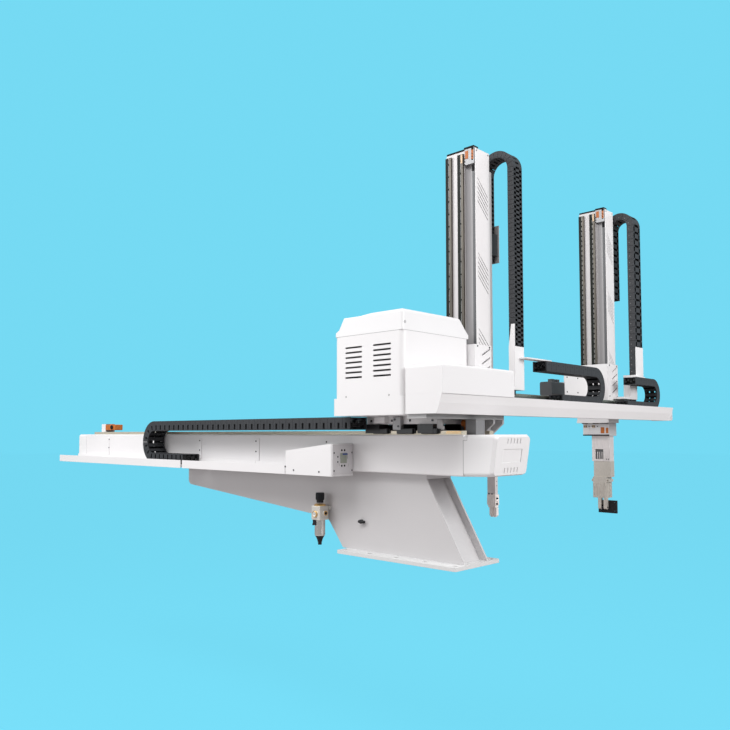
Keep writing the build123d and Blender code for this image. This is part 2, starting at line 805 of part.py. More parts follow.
def saddle(name, face_y, left_edge, chain):
    """Plates that hold one arm: front plate, side plate with its grille, deck and chain post."""
    front = face_y - saddle_gap - saddle_plate
    back = face_y + saddle_side_back
    flange_left = min(left_edge, saddle_flange_left)
    with BuildPart() as plates:
        block(left_edge, saddle_side_outer, front, front + saddle_plate, saddle_bottom, saddle_top)
        block(saddle_side_inner, saddle_side_outer, front, back, saddle_bottom, saddle_top)
        block(flange_left, saddle_side_outer, front, back, saddle_bottom - saddle_flange, saddle_bottom)
        block(arm_left - 2, saddle_side_inner, face_y - arm_rail_height - 3, back + 1,
              saddle_bottom - saddle_flange, saddle_bottom, mode=Mode.SUBTRACT)
        deck_back = face_y + chain["front"] + chain["width"]
        block(saddle_side_outer, chain["post_left"] + chain["height"], face_y + saddle_deck_front, deck_back,
              saddle_deck_z, saddle_deck_z + saddle_plate)
        post_top = chain["post_top"]
        deck_top = saddle_deck_z + saddle_plate
        shelf_z = chain["fixed_end"]
        post_front = face_y + chain["front"] - sheet
        shelf_bottom = chain["cross_top"] + clearance + cross_clamp
        if chain["fin"]:
            prism(
                along_y(post_front),
                mirrored([
                    (chain["post_left"], shelf_z), (chain["outer_x"], shelf_z), (chain["outer_x"], post_top),
                    (chain["outer_x"] - fin_tip, post_top),
                ]),
                sheet,
            )
        else:
            block(chain["outer_x"], chain["outer_x"] + sheet, post_front, deck_back, shelf_bottom, post_top)
        block(chain["post_left"], chain["post_left"] + chain["height"], post_front, deck_back,
              deck_top, shelf_z)
        block(chain["post_left"], chain["outer_x"], post_front, deck_back, shelf_bottom, shelf_z)
        arm_y = face_y + chain["front"] + chain["width"] / 2
        reach_y = sorted((arm_y, chain["clamp_y"]))
        block(chain["outer_x"] - 8, cross_chain_right - 8, reach_y[0], reach_y[1],
              chain["cross_top"] + clearance, shelf_bottom)
        for row in range(4):
            low = grille_bottom + row * grille_height / 4
            prism(
                along_x(saddle_side_inner - 1),
                [
                    (face_y + 14, low), (back - 8, low + 30), (back - 8, low + 38), (face_y + 14, low + 8),
                ],
                saddle_side_outer - saddle_side_inner + 2,
                mode=Mode.SUBTRACT,
            )
    save(plates, name)


def saddle_bearings(name, face_y):
    """Bearing blocks: four on the arm's rails, two on the beam's top rail, two on its side rail."""
    back = face_y - saddle_gap
    with BuildPart() as blocks:
        for place in arm_rail_places:
            for low in arm_block_places:
                block(place - arm_block_width / 2, place + arm_block_width / 2, back, face_y - 3,
                      low, low + arm_block_length)
                groove = arm_rail_width / 2 + clearance
                block(place - groove, place + groove, face_y - arm_rail_height - clearance, face_y - 3,
                      low, low + arm_block_length, mode=Mode.SUBTRACT)
        rail_half = cross_rail_width / 2
        for start_y in (face_y + 30, face_y + 112):
            block(top_rail_x - 20, top_rail_x + 20, start_y, start_y + 72, cross_top + 4, saddle_deck_z)
            block(top_rail_x - rail_half - clearance, top_rail_x + rail_half + clearance,
                  start_y, start_y + 72, cross_top + 4, cross_top + cross_rail_height + clearance,
                  mode=Mode.SUBTRACT)
        for start_y in (face_y - 30, face_y + 34):
            block(saddle_side_outer, cross_left - 3, start_y, start_y + 46, side_rail_z - 19, side_rail_z + 19)
            block(cross_left - cross_rail_height - clearance, cross_left - 3, start_y, start_y + 46,
                  side_rail_z - rail_half - clearance, side_rail_z + rail_half + clearance,
                  mode=Mode.SUBTRACT)
    save(blocks, name)


def arm_profile(name, face_y):
    """Hollow extrusion of the first stage with its belt channel and inner cavity."""
    with BuildPart() as profile:
        block(arm_left, arm_right, face_y, face_y + arm_depth, arm_bottom, arm_top)
        block(arm_right - channel_width - 2, arm_right - 2, face_y, face_y + channel_depth,
              arm_bottom, arm_top, mode=Mode.SUBTRACT)
        block(cavity_left, cavity_left + cavity_width, face_y + cavity_front,
              face_y + cavity_front + cavity_depth, arm_bottom, arm_top - sheet, mode=Mode.SUBTRACT)
    save(profile, name)


def arm_rails(name, face_y, guided):
    with BuildPart() as rails:
        for place in arm_rail_places:
            block(place - arm_rail_width / 2, place + arm_rail_width / 2, face_y - arm_rail_height,
                  face_y, arm_bottom, arm_top - rail_setback)
        if guided:
            bar_guides(face_y + arm_depth)
    save(rails, name)


shoe_left = arm_left + 75
shoe_foot = 30.0
fin_tip = 17.0


def chain_shoe(face_y, chain):
    """Bracket from the arm's back to the moving end of its chain."""
    shoe_bottom = chain["moving_end"] - 40
    shoe_top = chain["moving_end"] + 60
    strand_left = chain["inner_x"] - clearance
    back = face_y + chain["front"] + chain["width"]
    wall = sheet + 2
    block(shoe_left, shoe_left + wall, face_y + arm_depth, back, shoe_bottom, shoe_top)
    block(shoe_left, strand_left, back - wall, back, shoe_bottom, shoe_top)
    block(shoe_left, shoe_left + shoe_foot, face_y + arm_depth, face_y + arm_depth + wall,
          shoe_bottom, shoe_top)
    block(strand_left - wall, strand_left, face_y + chain["front"] + 6, back, shoe_bottom, shoe_top)


def arm_ends(name, face_y, chain, bore):
    """Head block, foot block that the second stage runs through, and the moving chain shoe."""
    with BuildPart() as ends:
        head_left = arm_right - channel_width - 2
        head_lip = 6.0
        block(head_left, head_left + channel_width, face_y - channel_depth, face_y + channel_depth,
              arm_top - head_height + head_lip, arm_top + head_lip)
        block(head_left, head_left + channel_width, face_y - channel_depth, face_y + cavity_front,
              arm_top, arm_top + head_lip)
        block(end_block_left, end_block_right, face_y, face_y + arm_depth - 4,
              arm_bottom - end_block_height, arm_bottom)
        if bore:
            block(inner_left - clearance, inner_right + clearance,
                  face_y + inner_front - clearance, face_y + inner_front + inner_depth + clearance,
                  arm_bottom - end_block_height, arm_bottom, mode=Mode.SUBTRACT)
        chain_shoe(face_y, chain)
    save(ends, name)


def arm_cover(name, face_y, depth):
    """Sheet over the arm's right side, with three groups of slanted slits."""
    with BuildPart() as cover:
        block(arm_right, arm_right + sheet, face_y, face_y + depth, arm_bottom + 20, arm_top)
        for group in slit_groups:
            for slit in range(slit_count):
                low = group + slit * slit_pitch
                prism(
                    along_x(arm_right - 1),
                    [
                        (face_y + 14, low + slit_rise), (face_y + depth - 14, low),
                        (face_y + depth - 14, low + slit_width), (face_y + 14, low + slit_rise + slit_width),
                    ],
                    sheet + 2,
                    mode=Mode.SUBTRACT,
                )
    save(cover, name)


# Lift chains stand beside the arms; their strands lie in X and their width in Y
runner_chain = {
    "inner_x": 137.0, "outer_x": 314.0, "height": 30.0, "width": 71.0, "front": 130.0,
    "bend_z": 1693.5, "moving_end": 1300.0, "fixed_end": 903.0, "post_top": 1000.0,
    "cross_top": 849.0, "clamp_y": 545.0, "post_left": 284.0, "fin": True,
}
product_chain = {
    "inner_x": 158.0, "outer_x": 320.0, "height": 37.0, "width": 88.0, "front": 100.0,
    "bend_z": 1679.0, "moving_end": 1280.0, "fixed_end": 847.0, "post_top": 1000.0,
    "cross_top": 829.0, "clamp_y": 1440.0, "post_left": 249.0, "fin": False,
}
cross_chain_left = 288.0
cross_chain_width = 70.0
cross_chain_right = cross_chain_left + cross_chain_width

# Second stages
inner_left = 92.0
inner_right = 195.0
inner_front = 25.0
inner_depth = 51.0
inner_wall = 5.0
inner_bottom = 374.0
inner_top = 1690.0
bar_left = 179.0
bar_width = 24.0
bar_foot_left = 181.0
bar_foot_right = 221.0
bar_foot_top = 350.0
bar_standoff = 14.0
bar_front = arm_depth + bar_standoff
bar_depth = 20.0
bar_bottom = 262.0
bar_rail_width = 14.0
bar_rail_height = 8.0

guide_heights = ((590.0, 650.0), (760.0, 820.0))
guide_margin = 8.0


def bar_guides(back):
    """Two grooved blocks on the runner arm's back that the bar's rail slides in."""
    rail_left_edge = bar_left + 2
    rail_right_edge = rail_left_edge + bar_rail_width
    for low, high in guide_heights:
        block(rail_left_edge - guide_margin, rail_right_edge + guide_margin, back, back + bar_standoff - 1,
              low, high)
        block(rail_left_edge - clearance, rail_right_edge + clearance,
              back + bar_standoff - bar_rail_height - clearance, back + bar_standoff, low, high,
              mode=Mode.SUBTRACT)


for arm, face_y, chain in (("runner", runner_y, runner_chain), ("product", product_y, product_chain)):
    is_product = arm == "product"
    saddle(f"{arm}_saddle", face_y, 40.0 if is_product else -60.0, chain)
    saddle_bearings(f"{arm}_bearings", face_y)
    arm_profile(f"{arm}_arm", face_y)
    arm_rails(f"{arm}_rails", face_y, not is_product)
    arm_ends(f"{arm}_arm_ends", face_y, chain, is_product)
    arm_cover(f"{arm}_arm_cover", face_y, arm_depth if is_product else bar_front - 2)
    strand = chain["height"]
    lift_radius = (chain["outer_x"] - chain["inner_x"] - strand) / 2
    drag_chain(
        f"{arm}_lift_chain",
        Plane(
            ((chain["outer_x"] + chain["inner_x"]) / 2, face_y + chain["front"] + chain["width"], chain["bend_z"]),
            x_dir=(0, 0, 1),
            z_dir=(0, -1, 0),
        ),
        lift_radius, strand, chain["width"],
        chain["bend_z"] - chain["moving_end"], chain["bend_z"] - chain["fixed_end"], 42.0,
    )

# Crosswise chains on the floor of the crosswise beam
cross_chains = (
    ("runner_cross_chain", runner_chain, 46.0, 953.0, 485.0, 330.0),
    ("product_cross_chain", product_chain, 40.0, 1638.0, 1410.0, 330.0),
)
for name, chain, strand, bend_y, moving_y, fixed_length in cross_chains:
    lowest = cross_floor + clearance
    cross_radius = (chain["cross_top"] - lowest - strand) / 2
    drag_chain(
        name,
        Plane((cross_chain_left, bend_y, (chain["cross_top"] + lowest) / 2), x_dir=(0, 1, 0), z_dir=(1, 0, 0)),
        cross_radius, strand, cross_chain_width, bend_y - moving_y, fixed_length, 44.0,
    )

# Lift drives: the product arm's stands in front of it, the runner arm's lies beside it
gear_bottom = 726.0
gear_height = 109.0
housing_height = 69.0
gear_length = 291.0
motor_length = 130.0
gear_width = 80.0
gear_right = 125.0
motor_size = 70.0
product_front = product_y - saddle_gap - saddle_plate
with BuildPart() as product_gearbox:
    block(gear_right - gear_width, gear_right, product_front - gear_length, product_front,
          gear_bottom, gear_bottom + housing_height)
    fillet(product_gearbox.edges().filter_by(Axis.Y), 6)
    block(gear_right - 4, gear_right, product_front - gear_length, product_front,
          gear_bottom + housing_height / 2, gear_bottom + gear_height)
    block(gear_right - gear_width, gear_right, product_front - 10, product_front,
          gear_bottom, gear_bottom + gear_height)
save(product_gearbox, "product_gearbox")
with BuildPart() as product_motor:
    motor_z = gear_bottom - 4
    motor_y = product_front - gear_length
    block(gear_right - motor_size, gear_right, motor_y - motor_length, motor_y, motor_z, motor_z + motor_size)
    fillet(product_motor.edges().filter_by(Axis.Y), 9)
    for plug_y in (motor_y - 42, motor_y - 90):
        block(gear_right - 46, gear_right - 22, plug_y, plug_y + 28, motor_z + motor_size - 1,
              motor_z + motor_size + 16)
save(product_motor, "product_motor")

runner_back = runner_y - saddle_gap
runner_gear_left = -92.0
runner_motor_length = 250.0
with BuildPart() as runner_gearbox:
    block(runner_gear_left, runner_gear_left + 130, runner_back, runner_back + gear_width,
          gear_bottom, gear_bottom + gear_height)
    fillet(runner_gearbox.edges().filter_by(Axis.X), 6)
save(runner_gearbox, "runner_gearbox")
with BuildPart() as runner_motor:
    block(runner_gear_left - runner_motor_length, runner_gear_left, runner_back + 5,
          runner_back + 5 + motor_size, gear_bottom + 20, gear_bottom + 20 + motor_size)
    fillet(runner_motor.edges().filter_by(Axis.X), 9)
save(runner_motor, "runner_motor")

# Runner arm's second stage, a slender bar on the back of the first
bar_y = runner_y + bar_front
with BuildPart() as runner_bar:
    block(bar_left, bar_left + bar_width, bar_y, bar_y + bar_depth, bar_foot_top, inner_top)
    block(bar_foot_left, bar_foot_right, bar_y, bar_y + bar_depth, bar_bottom, bar_foot_top)
    block(bar_left + 2, bar_left + 2 + bar_rail_width, bar_y - bar_rail_height, bar_y, arm_bottom, inner_top)
save(runner_bar, "runner_bar")

# Gripper at the foot of the bar, with two jaws
grip_x = 207.0
grip_half = 28.0
grip_height = 56.0
jaw_gap = 8.0
jaw_width = 14.0
jaw_length = 41.0
grip_bottom = bar_bottom - grip_height
with BuildPart() as gripper_body:
    block(grip_x - grip_half, grip_x + grip_half, bar_y - 4, bar_y + bar_depth + 4, grip_bottom, bar_bottom)
    fillet(gripper_body.edges().filter_by(Axis.Z), 4)
save(gripper_body, "gripper_body")
for name, side in (("gripper_jaw_left", -1), ("gripper_jaw_right", 1)):
    near = grip_x + side * jaw_gap / 2
    far = near + side * jaw_width
    low, high = sorted((near, far))
    with BuildPart() as jaw:
        block(low, high, bar_y + 2, bar_y + bar_depth - 2, grip_bottom - jaw_length, grip_bottom - clearance)
        tip_edge = jaw.faces().sort_by(Axis.Z)[0].edges().filter_by(Axis.Y)
        outer_edge = tip_edge.sort_by(Axis.X)[0 if side < 0 else -1]
        chamfer(outer_edge, 8)
    save(jaw, name)

# Product arm's second stage, a box column inside the first
with BuildPart() as product_column:
    column_y = product_y + inner_front
    block(inner_left, inner_right, column_y, column_y + inner_depth, inner_bottom, inner_top)
    block(inner_left + inner_wall, inner_right - inner_wall, column_y + inner_wall,
          column_y + inner_depth - inner_wall, inner_bottom, inner_top - inner_wall, mode=Mode.SUBTRACT)
    block(112, 158, column_y - 1, column_y + inner_wall + 1, inner_bottom + 12, inner_bottom + 66,
          mode=Mode.SUBTRACT)
save(product_column, "product_column")

# Wrist: adapter, cylinder body and the two cheeks that hold the flip shaft
wrist_top = inner_bottom
adapter_height = 86.0
cylinder_bottom = 174.0
flip_y = product_y + 24.0
flip_z = 122.0
cheek_radius = 10.0
cheek_places = ((128.0, 146.0), (160.0, 178.0))
with BuildPart() as wrist_body:
    column_y = product_y + inner_front
    block(100, 197, column_y + 2, column_y + inner_depth - 2, wrist_top - adapter_height, wrist_top)
    block(100, 178, product_y + 14, product_y + 82, cylinder_bottom, wrist_top - adapter_height)
    block(89, 190, product_y + 22, product_y + 74, 262, 276)
    for low_x, high_x in cheek_places:
        block(low_x, high_x, flip_y - cheek_radius, flip_y + cheek_radius, flip_z, cylinder_bottom)
        with Locations(Location((low_x, flip_y, flip_z), (0, 90, 0))):
            Cylinder(cheek_radius, high_x - low_x, align=(Align.CENTER, Align.CENTER, Align.MIN))
    with Locations(Location((150, flip_y, flip_z), (0, 90, 0))):
        Cylinder(4 + 0.05, 200, mode=Mode.SUBTRACT)
save(wrist_body, "wrist_body")

# Tool plate with its lug and shaft
plate_left = 120.0
plate_right = 225.0
plate_bottom_z = 92.0
plate_top_z = 161.0
plate_front = flip_y + cheek_radius + 0.5
with BuildPart() as tool_plate:
    block(plate_left, plate_right, plate_front, plate_front + 12, plate_bottom_z, plate_top_z)
    block(147, 159, flip_y, plate_front, flip_z - 9, flip_z + 9)
    with Locations(Location((147, flip_y, flip_z), (0, 90, 0))):
        Cylinder(9, 12, align=(Align.CENTER, Align.CENTER, Align.MIN))
    with Locations(Location((126, flip_y, flip_z), (0, 90, 0))):
        Cylinder(4, 54, align=(Align.CENTER, Align.CENTER, Align.MIN))
    plate_middle = ((plate_left + plate_right) / 2, plate_front + 12, (plate_bottom_z + plate_top_z) / 2)
    with Locations(Plane(plate_middle, x_dir=(1, 0, 0), z_dir=(0, 1, 0))):
        with GridLocations(80, 46, 2, 2):
            Hole(3.3, 12)
save(tool_plate, "tool_plate")
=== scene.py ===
"""Looks of the traverse take-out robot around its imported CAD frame.

Pieces and their sizes are in millimetres, the floor, lamps and camera in metres.
"""
import math

import bpy
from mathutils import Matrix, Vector


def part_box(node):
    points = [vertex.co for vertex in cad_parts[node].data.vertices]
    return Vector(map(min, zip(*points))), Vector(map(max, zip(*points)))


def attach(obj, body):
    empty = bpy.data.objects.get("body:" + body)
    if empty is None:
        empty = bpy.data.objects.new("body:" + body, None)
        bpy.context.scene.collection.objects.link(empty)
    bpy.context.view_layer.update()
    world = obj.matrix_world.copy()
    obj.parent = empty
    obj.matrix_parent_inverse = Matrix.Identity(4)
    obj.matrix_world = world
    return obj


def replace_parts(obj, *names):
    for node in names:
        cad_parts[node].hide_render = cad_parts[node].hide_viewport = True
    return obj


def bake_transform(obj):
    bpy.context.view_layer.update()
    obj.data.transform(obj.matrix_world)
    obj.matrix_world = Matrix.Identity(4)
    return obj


MM = 0.001

# The photograph's view
CAMERA_PLACE = (2.0499, -2.4434, 0.525)
CAMERA_TURN_DEG = (93.2176, 0.0, 43.822)
CAMERA_LENS_MM = 36.57
CAMERA_SENSOR_MM = 36.0
CAMERA_SHIFT_Y = 0.0371

# Backdrop and the light from all round
FLOOR_Z = -1.12
FLOOR_REACH = 60.0
BACKDROP = (0.18, 0.70, 0.90)
FLOOR_DIFFUSE = 0.11
FLOOR_GLOW = 0.93
FLOOR_BOUNCE = (0.46, 0.44, 0.44, 1)
WORLD_LEVEL = 0.50
WORLD_TINT = (1.0, 0.985, 0.99)
MIRRORED_BACKDROP = 0.25
# Places of a Mix node's two colours and of its result
MIX_FIRST, MIX_SECOND, MIX_RESULT = 6, 7, 2

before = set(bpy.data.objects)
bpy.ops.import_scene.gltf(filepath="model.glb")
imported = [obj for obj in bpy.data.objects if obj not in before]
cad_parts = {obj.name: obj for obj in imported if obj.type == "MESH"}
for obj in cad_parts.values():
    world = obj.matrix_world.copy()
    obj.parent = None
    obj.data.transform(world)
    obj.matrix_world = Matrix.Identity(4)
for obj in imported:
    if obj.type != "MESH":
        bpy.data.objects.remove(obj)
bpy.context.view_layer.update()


# Materials
def principled(name):
    """New material, its principled shader and the helpers to add and link nodes."""
    material = bpy.data.materials.new(name)
    material.use_nodes = True
    tree = material.node_tree
    shader = next(n for n in tree.nodes if n.type == "BSDF_PRINCIPLED")
    return material, tree, shader


def node(tree, kind, **values):
    made = tree.nodes.new(kind)
    for key, value in values.items():
        if key in made.inputs:
            made.inputs[key].default_value = value
        else:
            setattr(made, key, value)
    return made


def object_noise(tree, scale, stretch=(1, 1, 1), detail=3.0):
    """Noise over the row frame, stretched along one axis for brushed metal."""
    place = node(tree, "ShaderNodeTexCoord")
    mapping = node(tree, "ShaderNodeMapping")
    mapping.inputs["Scale"].default_value = stretch
    noise = node(tree, "ShaderNodeTexNoise", Scale=scale, Detail=detail)
    tree.links.new(place.outputs["Object"], mapping.inputs["Vector"])
    tree.links.new(mapping.outputs["Vector"], noise.inputs["Vector"])
    return noise.outputs["Fac"]


def ramp(tree, factor, low, high, start=0.3, end=0.7):
    """Colour ramp between two colours, driven by a factor."""
    made = node(tree, "ShaderNodeValToRGB")
    made.color_ramp.elements[0].position = start
    made.color_ramp.elements[0].color = (*low, 1)
    made.color_ramp.elements[1].position = end
    made.color_ramp.elements[1].color = (*high, 1)
    tree.links.new(factor, made.inputs["Fac"])
    return made.outputs["Color"]


def scaled(colour, amount):
    return tuple(min(1.0, c * amount) for c in colour)


def finish_surface(tree, shader, colour, spread, colour_noise, rough, rough_spread, bump_noise, bump_mm,
                   edge_mm=0.0):
    """Colour and roughness that vary softly, with a bump on top of rounded edges."""
    tint = ramp(tree, colour_noise, scaled(colour, 1 - spread), scaled(colour, 1 + spread))
    tree.links.new(tint, shader.inputs["Base Color"])
    grey_low = (rough - rough_spread,) * 3
    grey_high = (rough + rough_spread,) * 3
    sheen = ramp(tree, colour_noise, grey_low, grey_high, 0.25, 0.75)
    tree.links.new(sheen, shader.inputs["Roughness"])
    bump = node(tree, "ShaderNodeBump", Strength=1.0, Distance=bump_mm * MM)
    tree.links.new(bump_noise, bump.inputs["Height"])
    if edge_mm:
        edges = node(tree, "ShaderNodeBevel", samples=4, Radius=edge_mm * MM)
        tree.links.new(edges.outputs["Normal"], bump.inputs["Normal"])
    tree.links.new(bump.outputs["Normal"], shader.inputs["Normal"])


def painted(name, colour, rough=0.38, coat=0.15, peel_mm=0.03, edge_mm=1.2):
    """Powder coat: fine orange peel, faint shifts of tone, a thin clear sheen."""
    material, tree, shader = principled(name)
    finish_surface(tree, shader, colour, spread=0.012, colour_noise=object_noise(tree, 2.2),
                   rough=rough, rough_spread=0.04, bump_noise=object_noise(tree, 420, detail=2),
                   bump_mm=peel_mm, edge_mm=edge_mm)
    shader.inputs["Coat Weight"].default_value = coat
    shader.inputs["Coat Roughness"].default_value = 0.25
    return material


def metal(name, colour, rough=0.3, stretch=(1, 1, 1), grain=300, grain_mm=0.02, spread=0.08, metallic=1.0):
    """Machined metal with grain drawn out along one axis."""
    material, tree, shader = principled(name)
    grain_noise = object_noise(tree, grain, stretch, detail=4)
    finish_surface(tree, shader, colour, spread=spread, colour_noise=grain_noise, rough=rough,
                   rough_spread=0.07, bump_noise=grain_noise, bump_mm=grain_mm, edge_mm=0.8)
    shader.inputs["Metallic"].default_value = metallic
    return material


def moulded(name, colour, rough=0.45, grain_mm=0.05, grain=900, spread=0.06, specular=0.3):
    """Moulded plastic or rubber with a fine sandblasted grain."""
    material, tree, shader = principled(name)
    shader.inputs["Specular IOR Level"].default_value = specular
    finish_surface(tree, shader, colour, spread=spread, colour_noise=object_noise(tree, 30),
                   rough=rough, rough_spread=0.06, bump_noise=object_noise(tree, grain, detail=2),
                   bump_mm=grain_mm, edge_mm=0.8)
    return material


white_paint = painted("white_powder_coat", (0.80, 0.785, 0.79))
# Painted shade: the pedestal's plates get a greyer coat than the white paint, standing for the shade under the
# beam and the trays.
pedestal_shaded_paint = painted("pedestal_coat_painted_shade", (0.57, 0.555, 0.56), rough=0.42)
plate_paint = painted("base_plate_coat", (0.68, 0.68, 0.68), rough=0.42)
panel_grey = painted("panel_grey", (0.62, 0.60, 0.61), rough=0.42)
grey_paint = painted("light_grey_coat", (0.46, 0.455, 0.46), rough=0.42)
shade_grey = painted("dark_grey_coat", (0.10, 0.10, 0.105), rough=0.5)
white_plastic = painted("white_moulding", (0.82, 0.81, 0.815), rough=0.3, coat=0.3, peel_mm=0.015,
                        edge_mm=2.5)
arm_white = painted("arm_white", (0.82, 0.80, 0.805), rough=0.32, coat=0.25, peel_mm=0.015)
arm_extrusion = painted("arm_extrusion", (0.60, 0.575, 0.575), rough=0.34, coat=0.2, peel_mm=0.015)
# Painted shade: the liner's grey is partly the channel's metal and partly shade standing in for a channel
# deeper than the one drawn.
channel_grey = painted("channel_anodised_and_painted_shade", (0.36, 0.345, 0.35), rough=0.35, coat=0.1, peel_mm=0.01)
bare_aluminium = metal("bare_aluminium", (0.74, 0.69, 0.68), rough=0.38, stretch=(1, 1, 0.08), metallic=0.3)
cross_aluminium = metal("crosswise_aluminium", (0.20, 0.21, 0.19), rough=0.4, stretch=(1, 0.05, 1))
rail_x = metal("rail_steel_along_x", (0.62, 0.55, 0.44), rough=0.3, stretch=(0.03, 1, 1), metallic=0.4)
rail_y = metal("rail_steel_along_y", (0.42, 0.38, 0.31), rough=0.28, stretch=(1, 0.03, 1))
rail_z = metal("rail_steel_along_z", (0.085, 0.073, 0.058), rough=0.34, stretch=(1, 1, 0.03), metallic=0.4,
               spread=0.5)
# Painted shade: a near-black strip along each rail's left side stands for the shade in the rail's groove, and
# the rail bolt dots share it.
rail_shade_black = moulded("rail_groove_painted_shade", (0.013, 0.015, 0.012), rough=0.45, grain_mm=0.01, specular=0.12)
head_grey = metal("machined_grey", (0.33, 0.325, 0.33), rough=0.42, metallic=0.4)
foot_grey = metal("foot_grey", (0.66, 0.64, 0.645), rough=0.42, metallic=0.3)
warm_steel = metal("warm_cast_steel", (0.60, 0.555, 0.50), rough=0.4, stretch=(1, 1, 0.2), metallic=0.4)
# Painted light: the gripper steel is made paler than its metal to make up for the shadow that the beam casts on
# the gripper.
gripper_steel_painted_light = metal("gripper_steel_painted_light", (0.90, 0.83, 0.79), rough=0.36, stretch=(1, 1, 0.2), metallic=0.1)
bearing_steel = metal("bearing_steel", (0.022, 0.022, 0.024), rough=0.35, metallic=0.2)
screw_steel = metal("blackened_screws", (0.10, 0.10, 0.105), rough=0.35)
bright_steel = metal("bright_steel", (0.80, 0.78, 0.74), rough=0.2, metallic=0.85)
bracket_grey = painted("stop_bracket_coat", (0.20, 0.195, 0.20), rough=0.5)
stop_bronze = metal("stop_bronze", (0.46, 0.33, 0.22), rough=0.4, metallic=0.5)
brass = metal("brass", (0.80, 0.50, 0.20), rough=0.3, metallic=0.8)
filter_casting = metal("filter_casting", (0.70, 0.67, 0.62), rough=0.4, metallic=0.4)
black_plastic = moulded("black_plastic", (0.010, 0.010, 0.012), rough=0.4)
chain_plastic = moulded("chain_plastic", (0.036, 0.037, 0.041), rough=0.5, grain_mm=0.04)
chain_pin = moulded("chain_pin", (0.22, 0.22, 0.23), rough=0.45)
cable_black = moulded("cable_sheath", (0.012, 0.012, 0.013), rough=0.5)
motor_black = painted("motor_black", (0.025, 0.025, 0.028), rough=0.38, coat=0.2)
rubber_black = moulded("rubber", (0.010, 0.010, 0.011), rough=0.7, grain=400, specular=0.15)
orange_pad = moulded("orange_polyurethane", (0.46, 0.13, 0.022), rough=0.4)
socket_grey = moulded("socket_grey", (0.30, 0.32, 0.27), rough=0.5)
# Painted shade: near-black discs stand for the shade inside holes and open ports.
recess_shade = moulded("recess_painted_shade", (0.008, 0.008, 0.01), rough=0.8)
blue_plastic = moulded("blue_plastic", (0.02, 0.06, 0.25), rough=0.4)
gauge_white = moulded("gauge_face", (0.82, 0.82, 0.80), rough=0.35, grain_mm=0.005)

node_materials = {
    pedestal_shaded_paint: ["side_plates", "web_plates", "top_flange"],
    plate_paint: ["base_plate"],
    white_paint: ["traverse_beam", "cable_trays", "tray_brackets", "terminal_box", "control_box",
                  "beam_cover", "near_cover", "carriage_plate", "runner_saddle", "product_saddle",
                  "product_gearbox", "runner_gearbox"],
    white_plastic: ["right_end_cap", "left_end_cap", "box_lid"],
    arm_white: ["runner_arm_cover", "product_arm_cover"],
    arm_extrusion: ["runner_arm", "product_arm"],
    head_grey: ["runner_arm_ends", "product_arm_ends"],
    warm_steel: ["wrist_body"],
    grey_paint: ["beam_bracket"],
    panel_grey: ["inlet_panel"],
    cross_aluminium: ["crosswise_beam"],
    bare_aluminium: ["runner_bar", "product_column"],
    gripper_steel_painted_light: ["gripper_jaw_left", "gripper_jaw_right"],
    bright_steel: ["filter_bowl"],
    rail_x: ["traverse_rails"],
    rail_y: ["crosswise_rails"],
    rail_z: ["runner_rails", "product_rails"],
    bearing_steel: ["traverse_bearings", "runner_bearings", "product_bearings"],
    bracket_grey: ["stop_brackets"],
    rubber_black: ["traverse_belt"],
    orange_pad: ["stop_pads"],
    black_plastic: ["regulator_knob", "servo_drives", "tool_plate", "air_fitting"],
    motor_black: ["traverse_drive", "runner_motor", "product_motor"],
}
for material, names in node_materials.items():
    for name in names:
        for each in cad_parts[name].material_slots:
            each.material = material


# Meshes
BOX_FACES = [(0, 1, 3, 2), (4, 6, 7, 5), (0, 4, 5, 1), (2, 3, 7, 6), (0, 2, 6, 4), (1, 5, 7, 3)]
SMOOTH_BELOW_DEG = 35


def turned_axes(axis):
    """Unit vectors along a signed axis such as "+X", and two across it."""
    index = "XYZ".index(axis[1])
    sign = 1 if axis[0] == "+" else -1
    along = Vector([sign if i == index else 0 for i in range(3)])
    across = Vector([1 if i == (index + 1) % 3 else 0 for i in range(3)])
    return along, across, along.cross(across)


def band_faces(rows, sides):
    """Faces that join each row of points round an axis to the next row."""
    faces = []
    for row in range(rows - 1):
        for step in range(sides):
            other = (step + 1) % sides
            faces.append((row * sides + step, row * sides + other,
                          (row + 1) * sides + other, (row + 1) * sides + step))
    return faces


def turned_points(centre, axis, rows, sides, hexagon_rows=()):
    """Points of rows (radius, height) round a signed axis, some rows as a hexagon."""
    along, across, up = turned_axes(axis)
    points = []
    for index, (radius, height) in enumerate(rows):
        for step in range(sides):
            angle = 2 * math.pi * step / sides
            reach = radius
            if index in hexagon_rows:
                within = (angle % (math.pi / 3)) - math.pi / 6
                reach = radius * math.cos(math.pi / 6) / math.cos(within)
            points.append(Vector(centre) + along * height
                          + (across * math.cos(angle) + up * math.sin(angle)) * reach)
    return points


